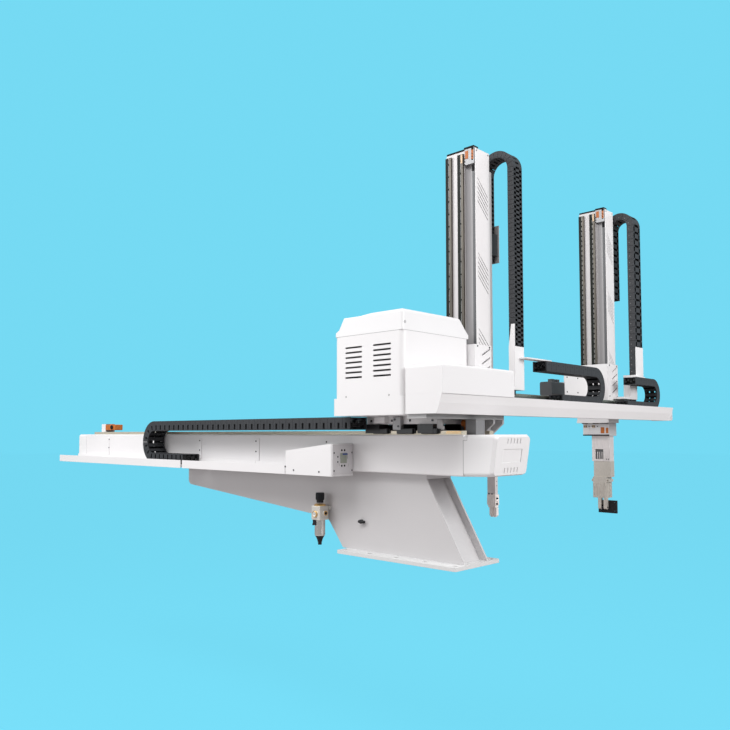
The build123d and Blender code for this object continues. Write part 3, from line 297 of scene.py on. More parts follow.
class Shape:
    """Points and faces of one piece, given in millimetres of the row frame."""

    def __init__(self):
        self.points = []
        self.faces = []

    def add(self, points, faces):
        first = len(self.points)
        self.points += [tuple(p) for p in points]
        self.faces += [tuple(first + i for i in face) for face in faces]

    def box(self, x0, x1, y0, y1, z0, z1):
        corners = [(x, y, z) for x in (x0, x1) for y in (y0, y1) for z in (z0, z1)]
        self.add(corners, BOX_FACES)

    def ring(self, centre, axis, profile, sides=24):
        """Solid turned about an axis: profile is (radius, height) along the signed axis."""
        faces = band_faces(len(profile), sides)
        faces.append(tuple(reversed(range(sides))))
        faces.append(tuple(range((len(profile) - 1) * sides, len(profile) * sides)))
        self.add(turned_points(centre, axis, profile, sides), faces)

    def screw(self, centre, axis, radius, height):
        """Socket head screw with a hexagon recess."""
        sides = 24
        bevel = radius * 0.12
        hexagon = radius * 0.5
        recess_floor = height * 0.45
        rows = [(radius, 0), (radius, height - bevel), (radius - bevel, height), (hexagon, height),
                (hexagon, recess_floor), (0.01, recess_floor)]
        faces = band_faces(len(rows), sides)
        faces.append(tuple(reversed(range(sides))))
        self.add(turned_points(centre, axis, rows, sides, hexagon_rows=(3, 4)), faces)

    def tube(self, stops, radius, sides=10):
        """Round bar along straight runs."""
        for start, end in zip(stops, stops[1:]):
            turn = (Vector(end) - Vector(start)).to_track_quat("Z", "Y").to_matrix()
            points = []
            for place in (Vector(start), Vector(end)):
                for step in range(sides):
                    angle = 2 * math.pi * step / sides
                    across = Vector((radius * math.cos(angle), radius * math.sin(angle), 0))
                    points.append(place + turn @ across)
            faces = [(i, (i + 1) % sides, sides + (i + 1) % sides, sides + i) for i in range(sides)]
            faces += [tuple(reversed(range(sides))), tuple(range(sides, 2 * sides))]
            self.add(points, faces)

    def piece(self, name, material, body, slot_name, bevel_mm=0.0, smooth=False):
        """The mesh object, riding on its body, with its material."""
        made = self.loose(name, material, slot_name, bevel_mm, smooth)
        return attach(made, body)

    def loose(self, name, material, slot_name, bevel_mm=0.0, smooth=False):
        """The mesh object before it rides on anything."""
        mesh = bpy.data.meshes.new(name)
        mesh.from_pydata([Vector(p) * MM for p in self.points], [], self.faces)
        mesh.validate()
        mesh.materials.append(material)
        made = bpy.data.objects.new(name, mesh)
        bpy.context.scene.collection.objects.link(made)
        if smooth:
            mesh.shade_smooth()
            made.modifiers.new("edges", "EDGE_SPLIT").split_angle = math.radians(SMOOTH_BELOW_DEG)
        if bevel_mm:
            edge = made.modifiers.new("bevel", "BEVEL")
            edge.width = bevel_mm * MM
            edge.segments = 2
            edge.limit_method = "ANGLE"
            edge.harden_normals = False
        return made


def box_mm(name):
    """A CAD node's corners in millimetres: x0, x1, y0, y1, z0, z1."""
    low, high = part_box(name)
    return low.x / MM, high.x / MM, low.y / MM, high.y / MM, low.z / MM, high.z / MM


def dots(shape, places, axis, radius, height=0.6, sides=14):
    """Flat round marks that stand for bolts, holes and plugs."""
    for place in places:
        shape.ring(place, axis, [(radius, -1.0), (radius, height)], sides)


def boxes(name, material, body, slot_name, corners, bevel_mm=0.0):
    """One piece made of boxes, each x0, x1, y0, y1, z0, z1 in millimetres."""
    shape = Shape()
    for each in corners:
        shape.box(*each)
    return shape.piece(name, material, body, slot_name, bevel_mm)


def screws(name, body, slot_name, places, axis, radius, height):
    """One piece with a socket head screw at each place."""
    shape = Shape()
    for place in places:
        shape.screw(place, axis, radius, height)
    shape.piece(name, screw_steel, body, slot_name)


def steps(start, stop, pitch):
    """Places from start up to stop, one pitch apart."""
    count = int((stop - start) // pitch) + 1
    return [start + index * pitch for index in range(count)]


# Cable chains
LINK_WALL = 5.0
LINK_SEAM = 0.6
LINKS_PER_PIECE = 4
CABLE_COUNT = 4


def cable_chain(name, centre, run, out, across, radius, height, width, moving, fixed, pitch,
                slots=None, pins=None, pin_material=None, windows=0.5, slot_share=0.0):
    """Links of a cable carrier along its fixed strand, bend and moving strand.

    run points at the bend, out points from the centre to the moving strand, across spans the width.
    slots gives the side walls' slots: low and high edge in shares of the height, then their length.
    pins gives the side walls' round marks: level in shares of half the height, then their radius.
    windows is the open share of a link's length, slot_share (0 for all) that of its width there.
    """
    run, out, across = Vector(run), Vector(out), Vector(across)
    centre = Vector(centre)
    half = height / 2
    inner = width - 2 * LINK_WALL
    bend_length = math.pi * radius
    bend_links = max(3, round(bend_length / pitch))
    fixed_links = max(1, round(fixed / pitch))
    moving_links = max(1, round(moving / pitch))

    def place(u, v, w):
        """u along the chain from the bend's start on the fixed strand, v outwards, w across."""
        if u < 0:
            return centre + run * u - out * (radius + v) + across * w
        if u > bend_length:
            return centre - run * (u - bend_length) + out * (radius + v) + across * w
        angle = -math.pi / 2 + u / radius
        return centre + (run * math.cos(angle) + out * math.sin(angle)) * (radius + v) + across * w

    def block(shape, u0, u1, v0, v1, w0, w1, parts):
        """Box in the chain's directions, in parts that follow the bend."""
        for part in range(parts):
            a = u0 + (u1 - u0) * part / parts
            b = u0 + (u1 - u0) * (part + 1) / parts
            corners = [place(u, v, w) for u in (a, b) for v in (v0, v1) for w in (w0, w1)]
            shape.add(corners, BOX_FACES)

    def side_wall(shape, cables, marks, u0, u1, near_side, parts):
        """One side of a link, with its slot or its pin mark."""
        w0, w1 = (0, LINK_WALL) if near_side else (width - LINK_WALL, width)
        if slots:
            low, high, opening = slots
            left = u0 + (u1 - u0 - opening) / 2
            block(shape, u0 + LINK_SEAM, left, -half, half, w0, w1, parts)
            block(shape, left + opening, u1 - LINK_SEAM, -half, half, w0, w1, parts)
            block(shape, left, left + opening, -half, low * height, w0, w1, 1)
            block(shape, left, left + opening, high * height, half, w0, w1, 1)
            behind = LINK_WALL + 1 if near_side else width - LINK_WALL - 2
            block(cables, left - 2, left + opening + 2, low * height - 2, high * height + 2,
                  behind, behind + 1, 1)
        else:
            block(shape, u0 + LINK_SEAM, u1 - LINK_SEAM, -half, half, w0, w1, parts * 2)
        if pins:
            level, pin_radius = pins
            outward = -1 if near_side else 1
            middle = place((u0 + u1) / 2, half * level, 0 if near_side else width)
            marks.tube([middle, middle + across * outward * 0.5], pin_radius)

    def link(shape, cables, marks, u0, u1, parts):
        """Two side walls, the bars between them and the cables inside."""
        length = u1 - u0
        for near_side in (True, False):
            side_wall(shape, cables, marks, u0, u1, near_side, parts)
        bar = length * (1 - windows)
        start = u0 + (length - bar) / 2
        for low_v, high_v in ((-half + 0.5, -half + 4), (half - 4, half - 0.5)):
            block(shape, start, start + bar, low_v, high_v, LINK_WALL, width - LINK_WALL, parts)
            if slot_share:
                edge = inner * (1 - slot_share) / 2
                for w0 in (LINK_WALL, width - LINK_WALL - edge):
                    block(shape, u0 + LINK_SEAM, u1 - LINK_SEAM, low_v, high_v, w0, w0 + edge, parts)
        cable_radius = min(inner / CABLE_COUNT * 0.42, half * 0.55)
        stops = [u0 + length * k / (parts * 2) for k in range(parts * 2 + 1)]
        for index in range(CABLE_COUNT):
            w = LINK_WALL + inner * (index + 0.5) / CABLE_COUNT
            level = (half * 0.18) * (1 if index % 2 else -1)
            cables.tube([place(u, level, w) for u in stops], cable_radius, 8)

    def link_group(kind, first, last):
        """Links, cables and pin marks of the links first to last on one part of the chain."""
        shape, cables, marks = Shape(), Shape(), Shape()
        origin, step, parts = {
            "fixed": (-fixed, fixed / fixed_links, 1),
            "bend": (0, bend_length / bend_links, 3),
            "moving": (bend_length, moving / moving_links, 1),
        }[kind]
        for number in range(first, last):
            link(shape, cables, marks, origin + number * step, origin + (number + 1) * step, parts)
        return shape, cables, marks

    def strand_groups(kind, count):
        """A strand's links, a few to a piece."""
        firsts = range(0, count, LINKS_PER_PIECE)
        return [(kind, first, min(count, first + LINKS_PER_PIECE)) for first in firsts]

    groups = strand_groups("fixed", fixed_links)
    groups.append(("bend", 0, bend_links))
    groups += strand_groups("moving", moving_links)
    made = []
    for index, (kind, first, last) in enumerate(groups):
        shape, cables, marks = link_group(kind, first, last)
        pieces = [shape.loose(f"{name}_links_{index}", chain_plastic, "chain_plastic"),
                  cables.loose(f"{name}_cables_{index}", cable_black, "chain_plastic")]
        if marks.points:
            pieces.append(marks.loose(f"{name}_pins_{index}", pin_material, "chain_plastic"))
        for piece in pieces:
            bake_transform(piece)
        made += pieces
    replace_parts(made[0], name)


TRAVERSE_STRAND = 54.0
TRAVERSE_CHAIN_END_X = -162.0
LIFT_CHAIN_END_Z = {"runner": 1300.0, "product": 1280.0}


def traverse_cable_chain():
    """Chain along the traverse beam, its upper strand reaching to the carriage."""
    x0, x1, y0, y1, z0, z1 = box_mm("traverse_chain")
    half_height = (z1 - z0) / 2
    cable_chain(
        "traverse_chain",
        centre=(x0 + half_height, y0, (z0 + z1) / 2), run=(-1, 0, 0), out=(0, 0, 1), across=(0, 1, 0),
        radius=(z1 - z0 - TRAVERSE_STRAND) / 2, height=TRAVERSE_STRAND, width=y1 - y0,
        moving=TRAVERSE_CHAIN_END_X - x0 - half_height, fixed=300.0, pitch=46.0,
        slots=(-0.42, 0.06, 13.0), windows=0.4,
    )


def lift_chain(arm, strand, fixed_end_z, pitch, windows, slot_share, pins=None, pin_material=None):
    """Chain beside an arm, the strand on its left reaching to the arm's chain shoe."""
    x0, x1, y0, y1, z0, z1 = box_mm(f"{arm}_lift_chain")
    bend_z = z1 - (x1 - x0) / 2
    cable_chain(
        f"{arm}_lift_chain",
        centre=((x0 + x1) / 2, y0, bend_z), run=(0, 0, 1), out=(-1, 0, 0), across=(0, 1, 0),
        radius=(x1 - x0 - strand) / 2, height=strand, width=y1 - y0,
        moving=bend_z - LIFT_CHAIN_END_Z[arm], fixed=bend_z - fixed_end_z, pitch=pitch,
        windows=windows, slot_share=slot_share, pins=pins, pin_material=pin_material,
    )


def cross_chain(arm, strand, moving_end_y):
    """Chain on the crosswise beam, its upper strand reaching to the saddle."""
    x0, x1, y0, y1, z0, z1 = box_mm(f"{arm}_cross_chain")
    bend_y = y1 - (z1 - z0) / 2
    cable_chain(
        f"{arm}_cross_chain",
        centre=(x0, bend_y, (z0 + z1) / 2), run=(0, 1, 0), out=(0, 0, 1), across=(1, 0, 0),
        radius=(z1 - z0 - strand) / 2, height=strand, width=x1 - x0,
        moving=bend_y - moving_end_y, fixed=330.0, pitch=44.0,
        windows=0.45, pins=(0.35, 3.0), pin_material=cable_black,
    )


traverse_cable_chain()
lift_chain("runner", strand=30.0, fixed_end_z=903.0, pitch=21.0, windows=0.45, slot_share=0.45)
lift_chain("product", strand=37.0, fixed_end_z=847.0, pitch=37.0, windows=0.34, slot_share=0.62,
           pins=(-0.3, 2.2), pin_material=chain_pin)
cross_chain("runner", strand=46.0, moving_end_y=485.0)
cross_chain("product", strand=40.0, moving_end_y=1410.0)


# Arms
HEAD_HEIGHT = 73.0
HEAD_PROUD = 4.0
CHANNEL_DEPTH = 18.0
RAIL_MIDDLES = (67.0, 132.0)
RAIL_HALF = 15.0
RAIL_STRIP = 16.0
FOOT_HEIGHT = 66.0
FOOT_DEPTH = 88.0
FOOT_LEFT, FOOT_RIGHT = 53.0, 207.0
# The column's hole through the product arm's foot, its Y from the foot's front
HOLE_LEFT, HOLE_RIGHT, HOLE_FRONT, HOLE_BACK = 91.7, 195.3, 24.7, 76.3
SHOE_LEFT = 126.0
SHOE_WALL = 5.0
# X of the wall beside the strand, and the shoe's front and back
CHAIN_SHOES = {"runner": (136.7, 306.0, 371.0), "product": (157.7, 1506.0, 1588.0)}


class Arm:
    """One arm's extrusion and the places that its details share."""

    def __init__(self, name):
        self.name = name
        self.body = f"{name}_arm"
        self.left, self.right, self.front = box_mm(self.body)[:3]
        self.bottom, self.top = box_mm(self.body)[4:]
        self.channel_left = self.right - 54
        self.channel_right = self.right - 2
        self.head_bottom = self.top - HEAD_HEIGHT
        self.head_front = self.front - HEAD_PROUD
        self.foot_bottom = self.bottom - FOOT_HEIGHT


def channel_details(arm):
    """Liner of the half-round channel, grey partly as painted shade of a deeper channel, the belt in it and the
    gap beside the cover.
    """
    left, right, front = arm.channel_left, arm.channel_right, arm.front
    liner = Shape()
    arc_steps = 16
    middle = (left + right) / 2
    half = (right - left) / 2 - 0.2
    rim = []
    for step in range(arc_steps + 1):
        turn = math.pi * step / arc_steps
        rim.append((middle - half * math.cos(turn), front + 1.0 + (CHANNEL_DEPTH - 2.5) * math.sin(turn)))
    rim += [(right - 0.2, front + CHANNEL_DEPTH - 0.2), (left + 0.2, front + CHANNEL_DEPTH - 0.2)]
    low = [(x, y, arm.bottom + 1) for x, y in rim]
    high = [(x, y, arm.head_bottom) for x, y in rim]
    count = len(rim)
    faces = [(i, (i + 1) % count, count + (i + 1) % count, count + i) for i in range(count)]
    faces += [tuple(range(count)), tuple(range(count, 2 * count))]
    liner.add(low + high, faces)
    liner.piece(f"{arm.name}_channel_liner", channel_grey, arm.body, "arm_extrusion", smooth=True)
    boxes(f"{arm.name}_lift_belt", shade_grey, arm.body, "arm_extrusion",
          [(right - 15, right - 1.5, front + 4, front + 6, arm.bottom + 20, arm.head_bottom - 18)])
    boxes(f"{arm.name}_cover_gap", rubber_black, arm.body, "arm_extrusion",
          [(arm.right - 1.6, arm.right - 0.1, front - 0.5, front + 1, arm.bottom + 20, arm.top - 1)])


def rail_details(arm, bolt_pitch, bolt_radius):
    """Groove of each rail, near-black as painted shade, and each rail's lip and bolt row."""
    grooves, bolts, lips = Shape(), Shape(), Shape()
    low, high = arm.bottom + 1, box_mm(f"{arm.name}_rails")[5] - 1
    groove_front = arm.front - 10.6
    for rail_middle in RAIL_MIDDLES:
        left = rail_middle - RAIL_HALF
        right = left + RAIL_STRIP
        grooves.box(left - 0.3, right, groove_front, arm.front - 1, low, high)
        lips.box(right, right + 1.5, arm.front - 10.5, arm.front - 9, low, high)
        seats = steps(arm.bottom + 24, high - 19, bolt_pitch)
        dots(bolts, [(right, groove_front, z) for z in seats], "-Y", bolt_radius)
    grooves.piece(f"{arm.name}_rail_shade_strips", rail_shade_black, arm.body, "rail_steel")
    lips.piece(f"{arm.name}_rail_lips", head_grey, arm.body, "rail_steel")
    bolts.piece(f"{arm.name}_rail_bolts", rail_shade_black, arm.body, "rail_steel")


def end_blocks(arm):
    """Top pad, foot block, head block and the shoe that carries the lift chain's moving end."""
    front, top = arm.front, arm.top
    boxes(f"{arm.name}_top_pad", rubber_black, arm.body, "arm_extrusion",
          [(arm.left + 1, arm.channel_left - 2, front - 1, front + 20, top, top + 8.5)], bevel_mm=0.8)

    walls = [(FOOT_LEFT, FOOT_RIGHT, 0, FOOT_DEPTH)]
    if arm.name == "product":
        walls = [(FOOT_LEFT, HOLE_LEFT, 0, FOOT_DEPTH), (HOLE_RIGHT, FOOT_RIGHT, 0, FOOT_DEPTH),
                 (HOLE_LEFT, HOLE_RIGHT, 0, HOLE_FRONT), (HOLE_LEFT, HOLE_RIGHT, HOLE_BACK, FOOT_DEPTH)]
    boxes(f"{arm.name}_foot_block", foot_grey, arm.body, "bare_aluminium",
          [(left, right, front + near, front + far, arm.foot_bottom, arm.bottom)
           for left, right, near, far in walls], bevel_mm=1.2)

    shoe_right, shoe_front, shoe_back = CHAIN_SHOES[arm.name]
    low, high = LIFT_CHAIN_END_Z[arm.name] - 40, LIFT_CHAIN_END_Z[arm.name] + 60
    arm_back = front + 92
    blocks = boxes(f"{arm.name}_end_blocks", head_grey, arm.body, "bare_aluminium", [
        (arm.channel_left, arm.channel_right, arm.head_front, front + 18, arm.head_bottom + 6, top + 6),
        (SHOE_LEFT, SHOE_LEFT + SHOE_WALL, arm_back, shoe_back, low, high),
        (SHOE_LEFT, shoe_right, shoe_back - SHOE_WALL, shoe_back, low, high),
        (SHOE_LEFT, SHOE_LEFT + 30, arm_back, arm_back + SHOE_WALL, low, high),
        (shoe_right - SHOE_WALL, shoe_right, shoe_front, shoe_back, low, high),
    ], bevel_mm=1.2)
    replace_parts(blocks, f"{arm.name}_arm_ends")


def head_details(arm):
    """Orange pads, rubber stops and holes of the head block, a black block of painted shadow in the pulley's
    gap below it, and the bronze stop on the rail.
    """
    left, right, front, top = arm.channel_left, arm.channel_right, arm.head_front, arm.top
    boxes(f"{arm.name}_head_pads", orange_pad, arm.body, "bare_aluminium",
          [(left + 5, left + 22, front - 1.2, front + 1, top - 40, top - 4),
           (right - 14, right - 3, front - 1.2, front + 1, top - 48, top - 6)], bevel_mm=1.0)
    boxes(f"{arm.name}_head_stops", rubber_black, arm.body, "bare_aluminium",
          [(left - 1, right - 1, front - 1, arm.front + 30, top + 3, top + 13),
           (right - 14, right - 1, front - 1.5, arm.front + 10, top - 6, top + 4)], bevel_mm=1.0)
    # The holes are black rings: painted shade inside them.
    holes = Shape()
    for x, drops in ((left + 3.5, (38, 51, 64)), (right - 9, (24, 37, 50))):
        for drop in drops:
            holes.ring((x, front, top - drop), "-Y", [(2.6, -1), (2.6, 1.8)], 12)
    holes.piece(f"{arm.name}_head_holes", rubber_black, arm.body, "bare_aluminium")
    # Painted shadow: a black block where the pulley's gap under the head block lies in shadow.
    low = arm.head_bottom
    boxes(f"{arm.name}_pulley_shadow", rubber_black, arm.body, "bare_aluminium",
          [(right - 16, right - 1, arm.front + 2, arm.front + 16, low - 24, low + 1)])
    rail = RAIL_MIDDLES[1]
    boxes(f"{arm.name}_rail_stop", stop_bronze, arm.body, "rail_steel",
          [(rail + 4, rail + 13, arm.front - 11.4, arm.front - 9, top - 56, top - 16)], bevel_mm=0.6)


def foot_details(arm):
    """Rubber strip, orange pads, bronze plates and screws on the foot block's front."""
    front, low = arm.front, arm.foot_bottom
    boxes(f"{arm.name}_foot_strip", rubber_black, arm.body, "bare_aluminium",
          [(FOOT_LEFT, FOOT_RIGHT, front - 1.5, front + 1, low, low + 7)], bevel_mm=0.5)
    boxes(f"{arm.name}_foot_pads", orange_pad, arm.body, "bare_aluminium",
          [(left, right, front - 2, front + 1, low + 14, low + rise)
           for left, right, rise in ((158, 179, 47), (188, 202, 44))], bevel_mm=1.0)
    boxes(f"{arm.name}_foot_plates", stop_bronze, arm.body, "bare_aluminium",
          [(left, left + 20, front - 1, front + 1, arm.bottom - 22, arm.bottom - 7)
           for left in (58, 106)], bevel_mm=0.5)
    screws(f"{arm.name}_foot_screws", arm.body, "bare_aluminium",
           [(x, front, arm.bottom - 14) for x in (62, 74, 90, 110, 122, 140)], "-Y", 3.2, 3.0)


def cover_details(arm):
    """Corner screws of the side cover and painted shade behind its three groups of slits."""
    front, back = box_mm(f"{arm.name}_arm_cover")[2:4]
    screws(f"{arm.name}_cover_screws", arm.body, "white_cover",
           [(arm.right + 3, y, z) for y in (front + 9, back - 9) for z in (arm.top - 9, arm.bottom + 40)],
           "+X", 3.2, 1.4)
    # Painted shade: black sheets behind the slits stand for the shade inside the cover.
    groups = [arm.top - drop for drop in (304, 634, 964)]
    boxes(f"{arm.name}_slit_shade", rubber_black, arm.body, "white_cover",
          [(arm.right + 0.05, arm.right + 1.0, front + 4, back - 4, z - 150, z + 150) for z in groups])


def arm_details(name, bolt_pitch, bolt_radius):
    """All drawn details of one arm."""
    arm = Arm(name)
    channel_details(arm)
    rail_details(arm, bolt_pitch, bolt_radius)
    end_blocks(arm)
    head_details(arm)
    foot_details(arm)
    cover_details(arm)


def runner_chain_end():
    """Closed last link of the runner's lift chain and the plate behind it."""
    boxes("runner_chain_end", chain_plastic, "runner_arm", "chain_plastic",
          [(138, 183, 303, 371, 1327, 1427)], bevel_mm=2.0)
    boxes("runner_chain_plate", grey_paint, "runner_arm", "bare_aluminium",
          [(131, 190, 371.5, 375, 1297, 1469)], bevel_mm=1.0)


arm_details("runner", bolt_pitch=56.0, bolt_radius=3.6)
arm_details("product", bolt_pitch=28.0, bolt_radius=5.0)
runner_chain_end()


# Control box, terminal box and beam
def control_box_details():
    """Front screws sunk flush, the lid's latch and the seam under the lid."""
    box_front = box_mm("control_box")[2]
    head_height = 1.4
    screws("box_screws", "carriage", "white_paint",
           [(x, box_front + head_height, 676) for x in (-115, 122)], "-Y", 4.5, head_height)
    latch = Shape()
    latch.ring((193, -286, 958), "+X", [(7, -1), (6, 1.2)], 20)
    latch.piece("lid_latch", grey_paint, "carriage", "white_moulding")
    x0, x1, y0, y1, z0 = box_mm("box_lid")[:5]
    boxes("lid_seam", grey_paint, "carriage", "white_moulding",
          [(x0 + 12, x1 - 12, y0 - 0.3, y0 + 3, z0 - 1.2, z0 + 0.6),
           (x1 - 3, x1 + 0.3, y0 + 12, y1 - 12, z0 - 1.2, z0 + 0.6)])


def terminal_box_details():
    """Screws of the terminal box and beam, the beam's seams, the inlet panel's fittings."""
    x0, x1, y0, y1, z0, z1 = box_mm("terminal_box")
    screws("terminal_screws", "pedestal", "white_paint",
           [(x0 + 62, y0, z0 + 20), (x1 - 78, y0, z0 + 18), (x0 + 4, y0, z0 + 34)], "-Y", 4.0, 2.0)
    screws("beam_screws", "pedestal", "white_paint",
           [(-423, -120, 488)] + [(x, -124, z) for x in (-2467, -1435, -936) for z in (488, 436)],
           "-Y", 4.0, 2.0)
    boxes("beam_seams", grey_paint, "pedestal", "white_paint",
          [(left, right, -120.6, -117, low, high) for left, right, low, high in (
              (342.5, 344.5, 362, 500), (342.5, 362, 498.5, 500.5), (360.5, 362, 500, 519),
              (-2791, -2789, 364, 512))])

    panel_x = box_mm("inlet_panel")[1]
    screws("panel_screws", "pedestal", "panel_steel",
           [(panel_x, y, z) for y in (y0 + 12, y1 - 10) for z in (z0 + 24, z1 - 40)]
           + [(panel_x, y0 + 34, z) for z in (z0 + 62, z0 + 84)], "+X", 3.6, 1.6)
    # The panel's holes are dark discs of painted shade.
    holes = Shape()
    dots(holes, [(panel_x, y, z) for y in (-192, -175) for z in (z0 + 45, z0 + 112)], "+X", 4.6)
    holes.piece("panel_holes", recess_shade, "pedestal", "panel_steel")
    boxes("panel_socket", socket_grey, "pedestal", "panel_steel",
          [(panel_x - 0.5, panel_x + 1.2, -200, -162, z0 + 56, z0 + 100)], bevel_mm=0.5)
    boxes("panel_slot", blue_plastic, "pedestal", "panel_steel",
          [(panel_x - 0.5, panel_x + 2.0, -188, -158, z0 + 92, z0 + 98)])


# Carriage and stops
def carriage_details():
    """Plate bolts, and under the plate the dark backing of painted shade, slides, clamp, hook and stop."""
    screws("carriage_bolts", "carriage", "white_paint",
           [(x, -100, 580) for x in (-160, -40, 60, 178)], "-Y", 5.0, 3.0)
    # Painted shade: dark sheets under the plate stand for the shade beneath the control box and close the gaps
    # between the slides.
    boxes("carriage_shade_backing", rubber_black, "carriage", "bearing_steel",
          [(-186, 204, -60, -56, 540, 563), (-186, 204, 40, 44, 527, 563)])
    slides = []
    for left, right in ((-135, -52), (0, 88), (131, 213)):
        slides += [(left, right, -119, -66, 524, 547), (right + 3, right + 9, -112, -66, 527, 545)]
    boxes("carriage_slides", bearing_steel, "carriage", "bearing_steel", slides, bevel_mm=3.0)
    boxes("carriage_clamp", head_grey, "carriage", "bearing_steel",
          [(-20, 24, -120, -101, 541, 596)], bevel_mm=2.0)
    screws("clamp_screws", "carriage", "bearing_steel", [(-8, -120, 585), (12, -120, 556)], "-Y", 4.5, 2.5)
    boxes("carriage_hook", grey_paint, "carriage", "bearing_steel",
          [(205, 232, -108, -98, 544, 583), (222, 238, -106, -98, 541, 556)], bevel_mm=3.0)
    boxes("carriage_stop", shade_grey, "carriage", "bearing_steel",
          [(236, 280, 34, 110, 540, 582.5)], bevel_mm=1.5)
    boxes("carriage_stop_pad", orange_pad, "carriage", "orange_polyurethane",
          [(236, 247, 31, 35, 542, 582)], bevel_mm=1.0)


def beam_top_details():
    """Brass end plates and edge of the front rail, and the stop at the beam's left end."""
    plate_pitch, plate_height = 5.2, 3.4
    lows = [521.2 + step * plate_pitch for step in range(3)]
    boxes("rail_end_plates", brass, "pedestal", "rail_steel",
          [(246 + step * 3, 324, -106.5, -78, low, low + plate_height) for step, low in enumerate(lows)],
          bevel_mm=0.6)
    boxes("rail_edge", rail_x, "pedestal", "rail_steel", [(-2700, 326, -108, -105.5, 521, 525)])
    boxes("left_stop_block", orange_pad, "pedestal", "orange_polyurethane",
          [(-2691, -2561, -38, 20, 549, 586)], bevel_mm=4.0)
    bumper = Shape()
    bumper.ring((-2598, -38, 568), "-Y", [(14, -2), (14, 5), (11, 8)], 28)
    bumper.piece("left_stop_bumper", rubber_black, "pedestal", "orange_polyurethane", smooth=True)
    boxes("left_stop_face", white_paint, "pedestal", "bearing_steel",
          [(-2744, -2690, -38, -30.5, 522, 590)], bevel_mm=2.0)


control_box_details()
terminal_box_details()
carriage_details()
beam_top_details()


# Filter-regulator
FILTER_Y = -119.5
FILTER_FRONT_Y = FILTER_Y - 27.5
FILTER_LOW, FILTER_HIGH = 133.0, 197.0
PORT_Z = 165.0
GAUGE_Z = 160.0
KNOB_RADIUS = 19.0
KNOB_RIBS = 20
GAUGE_MARKS = 9
GAUGE_MARK_RADIUS = 9.8
GAUGE_FIRST_DEG = -130
GAUGE_STEP_DEG = 32.5


def filter_housing(filter_x, gauge_x):
    """Casting with its side ports, and the brass round the knob, the gauge and the right port."""
    housing = Shape()
    housing.box(filter_x - 29, filter_x + 29, FILTER_FRONT_Y, -92, FILTER_LOW, FILTER_HIGH)
    housing.box(filter_x - 34, filter_x + 34, -92, -80, FILTER_HIGH - 18, FILTER_HIGH - 2)
    for side, axis in ((28, "+X"), (-28, "-X")):
        housing.ring((filter_x + side, FILTER_Y, PORT_Z), axis, [(14, 0), (14, 10)], 32)
    casting = housing.piece("filter_housing", filter_casting, "pedestal", "filter_metal", bevel_mm=3.0)
    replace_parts(casting, "filter_body")
    rings = Shape()
    rings.ring((filter_x, FILTER_Y, FILTER_HIGH), "+Z", [(27, -0.5), (27, 5), (20, 9)], 40)
    rings.ring((gauge_x, FILTER_FRONT_Y, GAUGE_Z), "-Y", [(15, -1), (15, 6), (12.5, 8), (12.2, 5)], 36)
    rings.ring((filter_x + 38, FILTER_Y, PORT_Z), "+X", [(11, -1), (11, 1.5)], 28)
    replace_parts(rings.piece("filter_brass", brass, "pedestal", "filter_metal", smooth=True), "pressure_gauge")


def gauge_dial(gauge_x):
    """White face with its needle and an arc of marks."""
    dial_y = FILTER_FRONT_Y - 5
    mark_y = FILTER_FRONT_Y - 5.8
    face = Shape()
    face.ring((gauge_x, dial_y, GAUGE_Z), "-Y", [(12.4, -1), (12.4, 0.9)], 32)
    face.piece("gauge_face", gauge_white, "pedestal", "gauge_case")
    marks = Shape()
    marks.box(gauge_x - 1, gauge_x + 1, FILTER_FRONT_Y - 6.6, mark_y, GAUGE_Z - 3, GAUGE_Z + 8)
    marks.ring((gauge_x, mark_y, GAUGE_Z), "-Y", [(2.4, 0), (2.4, 1.4)], 16)
    for step in range(GAUGE_MARKS):
        turn = math.radians(GAUGE_FIRST_DEG + step * GAUGE_STEP_DEG)
        x = gauge_x + GAUGE_MARK_RADIUS * math.sin(turn)
        z = GAUGE_Z + GAUGE_MARK_RADIUS * math.cos(turn)
        marks.box(x - 0.7, x + 0.7, FILTER_FRONT_Y - 6.4, mark_y, z - 0.7, z + 0.7)
    marks.piece("gauge_marks", black_plastic, "pedestal", "gauge_case")


def filter_black_parts(filter_x):
    """Bowl latch and drain, the ribbed knob and the open port, a dark disc of painted shade."""
    bowl_bottom = box_mm("filter_bowl")[4]
    drain = Shape()
    drain.box(filter_x - 19, filter_x + 1, FILTER_Y - 27, FILTER_Y - 18, 110, 133)
    drain.box(filter_x - 23, filter_x - 18, FILTER_Y - 26, FILTER_Y - 18, 108, 116)
    drain.ring((filter_x, FILTER_Y, bowl_bottom), "+Z",
               [(8.6, -0.4), (8.6, 11), (11, 15), (11, 19), (17, 33), (22, 40)], 24)
    drain.piece("filter_drain", black_plastic, "pedestal", "bowl_plastic", smooth=True)
    knob_bottom, knob_top = box_mm("regulator_knob")[4:6]
    knob_height = knob_top - knob_bottom
    knob = Shape()
    knob.ring((filter_x, FILTER_Y, knob_bottom), "+Z",
              [(16, -4), (16, 6), (KNOB_RADIUS, 9), (KNOB_RADIUS, knob_height - 2), (17.5, knob_height)], 40)
    for step in range(KNOB_RIBS):
        turn = 2 * math.pi * step / KNOB_RIBS
        rib_x = filter_x + KNOB_RADIUS * math.cos(turn)
        rib_y = FILTER_Y + KNOB_RADIUS * math.sin(turn)
        knob.ring((rib_x, rib_y, knob_bottom), "+Z", [(1.1, 12), (1.1, knob_height - 4)], 8)
    grip = knob.piece("knob_grip", black_plastic, "regulator_knob", "black_plastic", smooth=True)
    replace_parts(grip, "regulator_knob")
    # The open port is a dark disc of painted shade.
    port = Shape()
    dots(port, [(filter_x + 38, FILTER_Y, PORT_Z)], "+X", 7, 2.0)
    port.piece("filter_port", recess_shade, "pedestal", "filter_metal")


def filter_regulator():
    """The whole unit, placed by its body's middle."""
    left, right = box_mm("filter_body")[:2]
    filter_x = (left + right) / 2
    gauge_x = filter_x - 3.0
    filter_housing(filter_x, gauge_x)
    gauge_dial(gauge_x)
    filter_black_parts(filter_x)


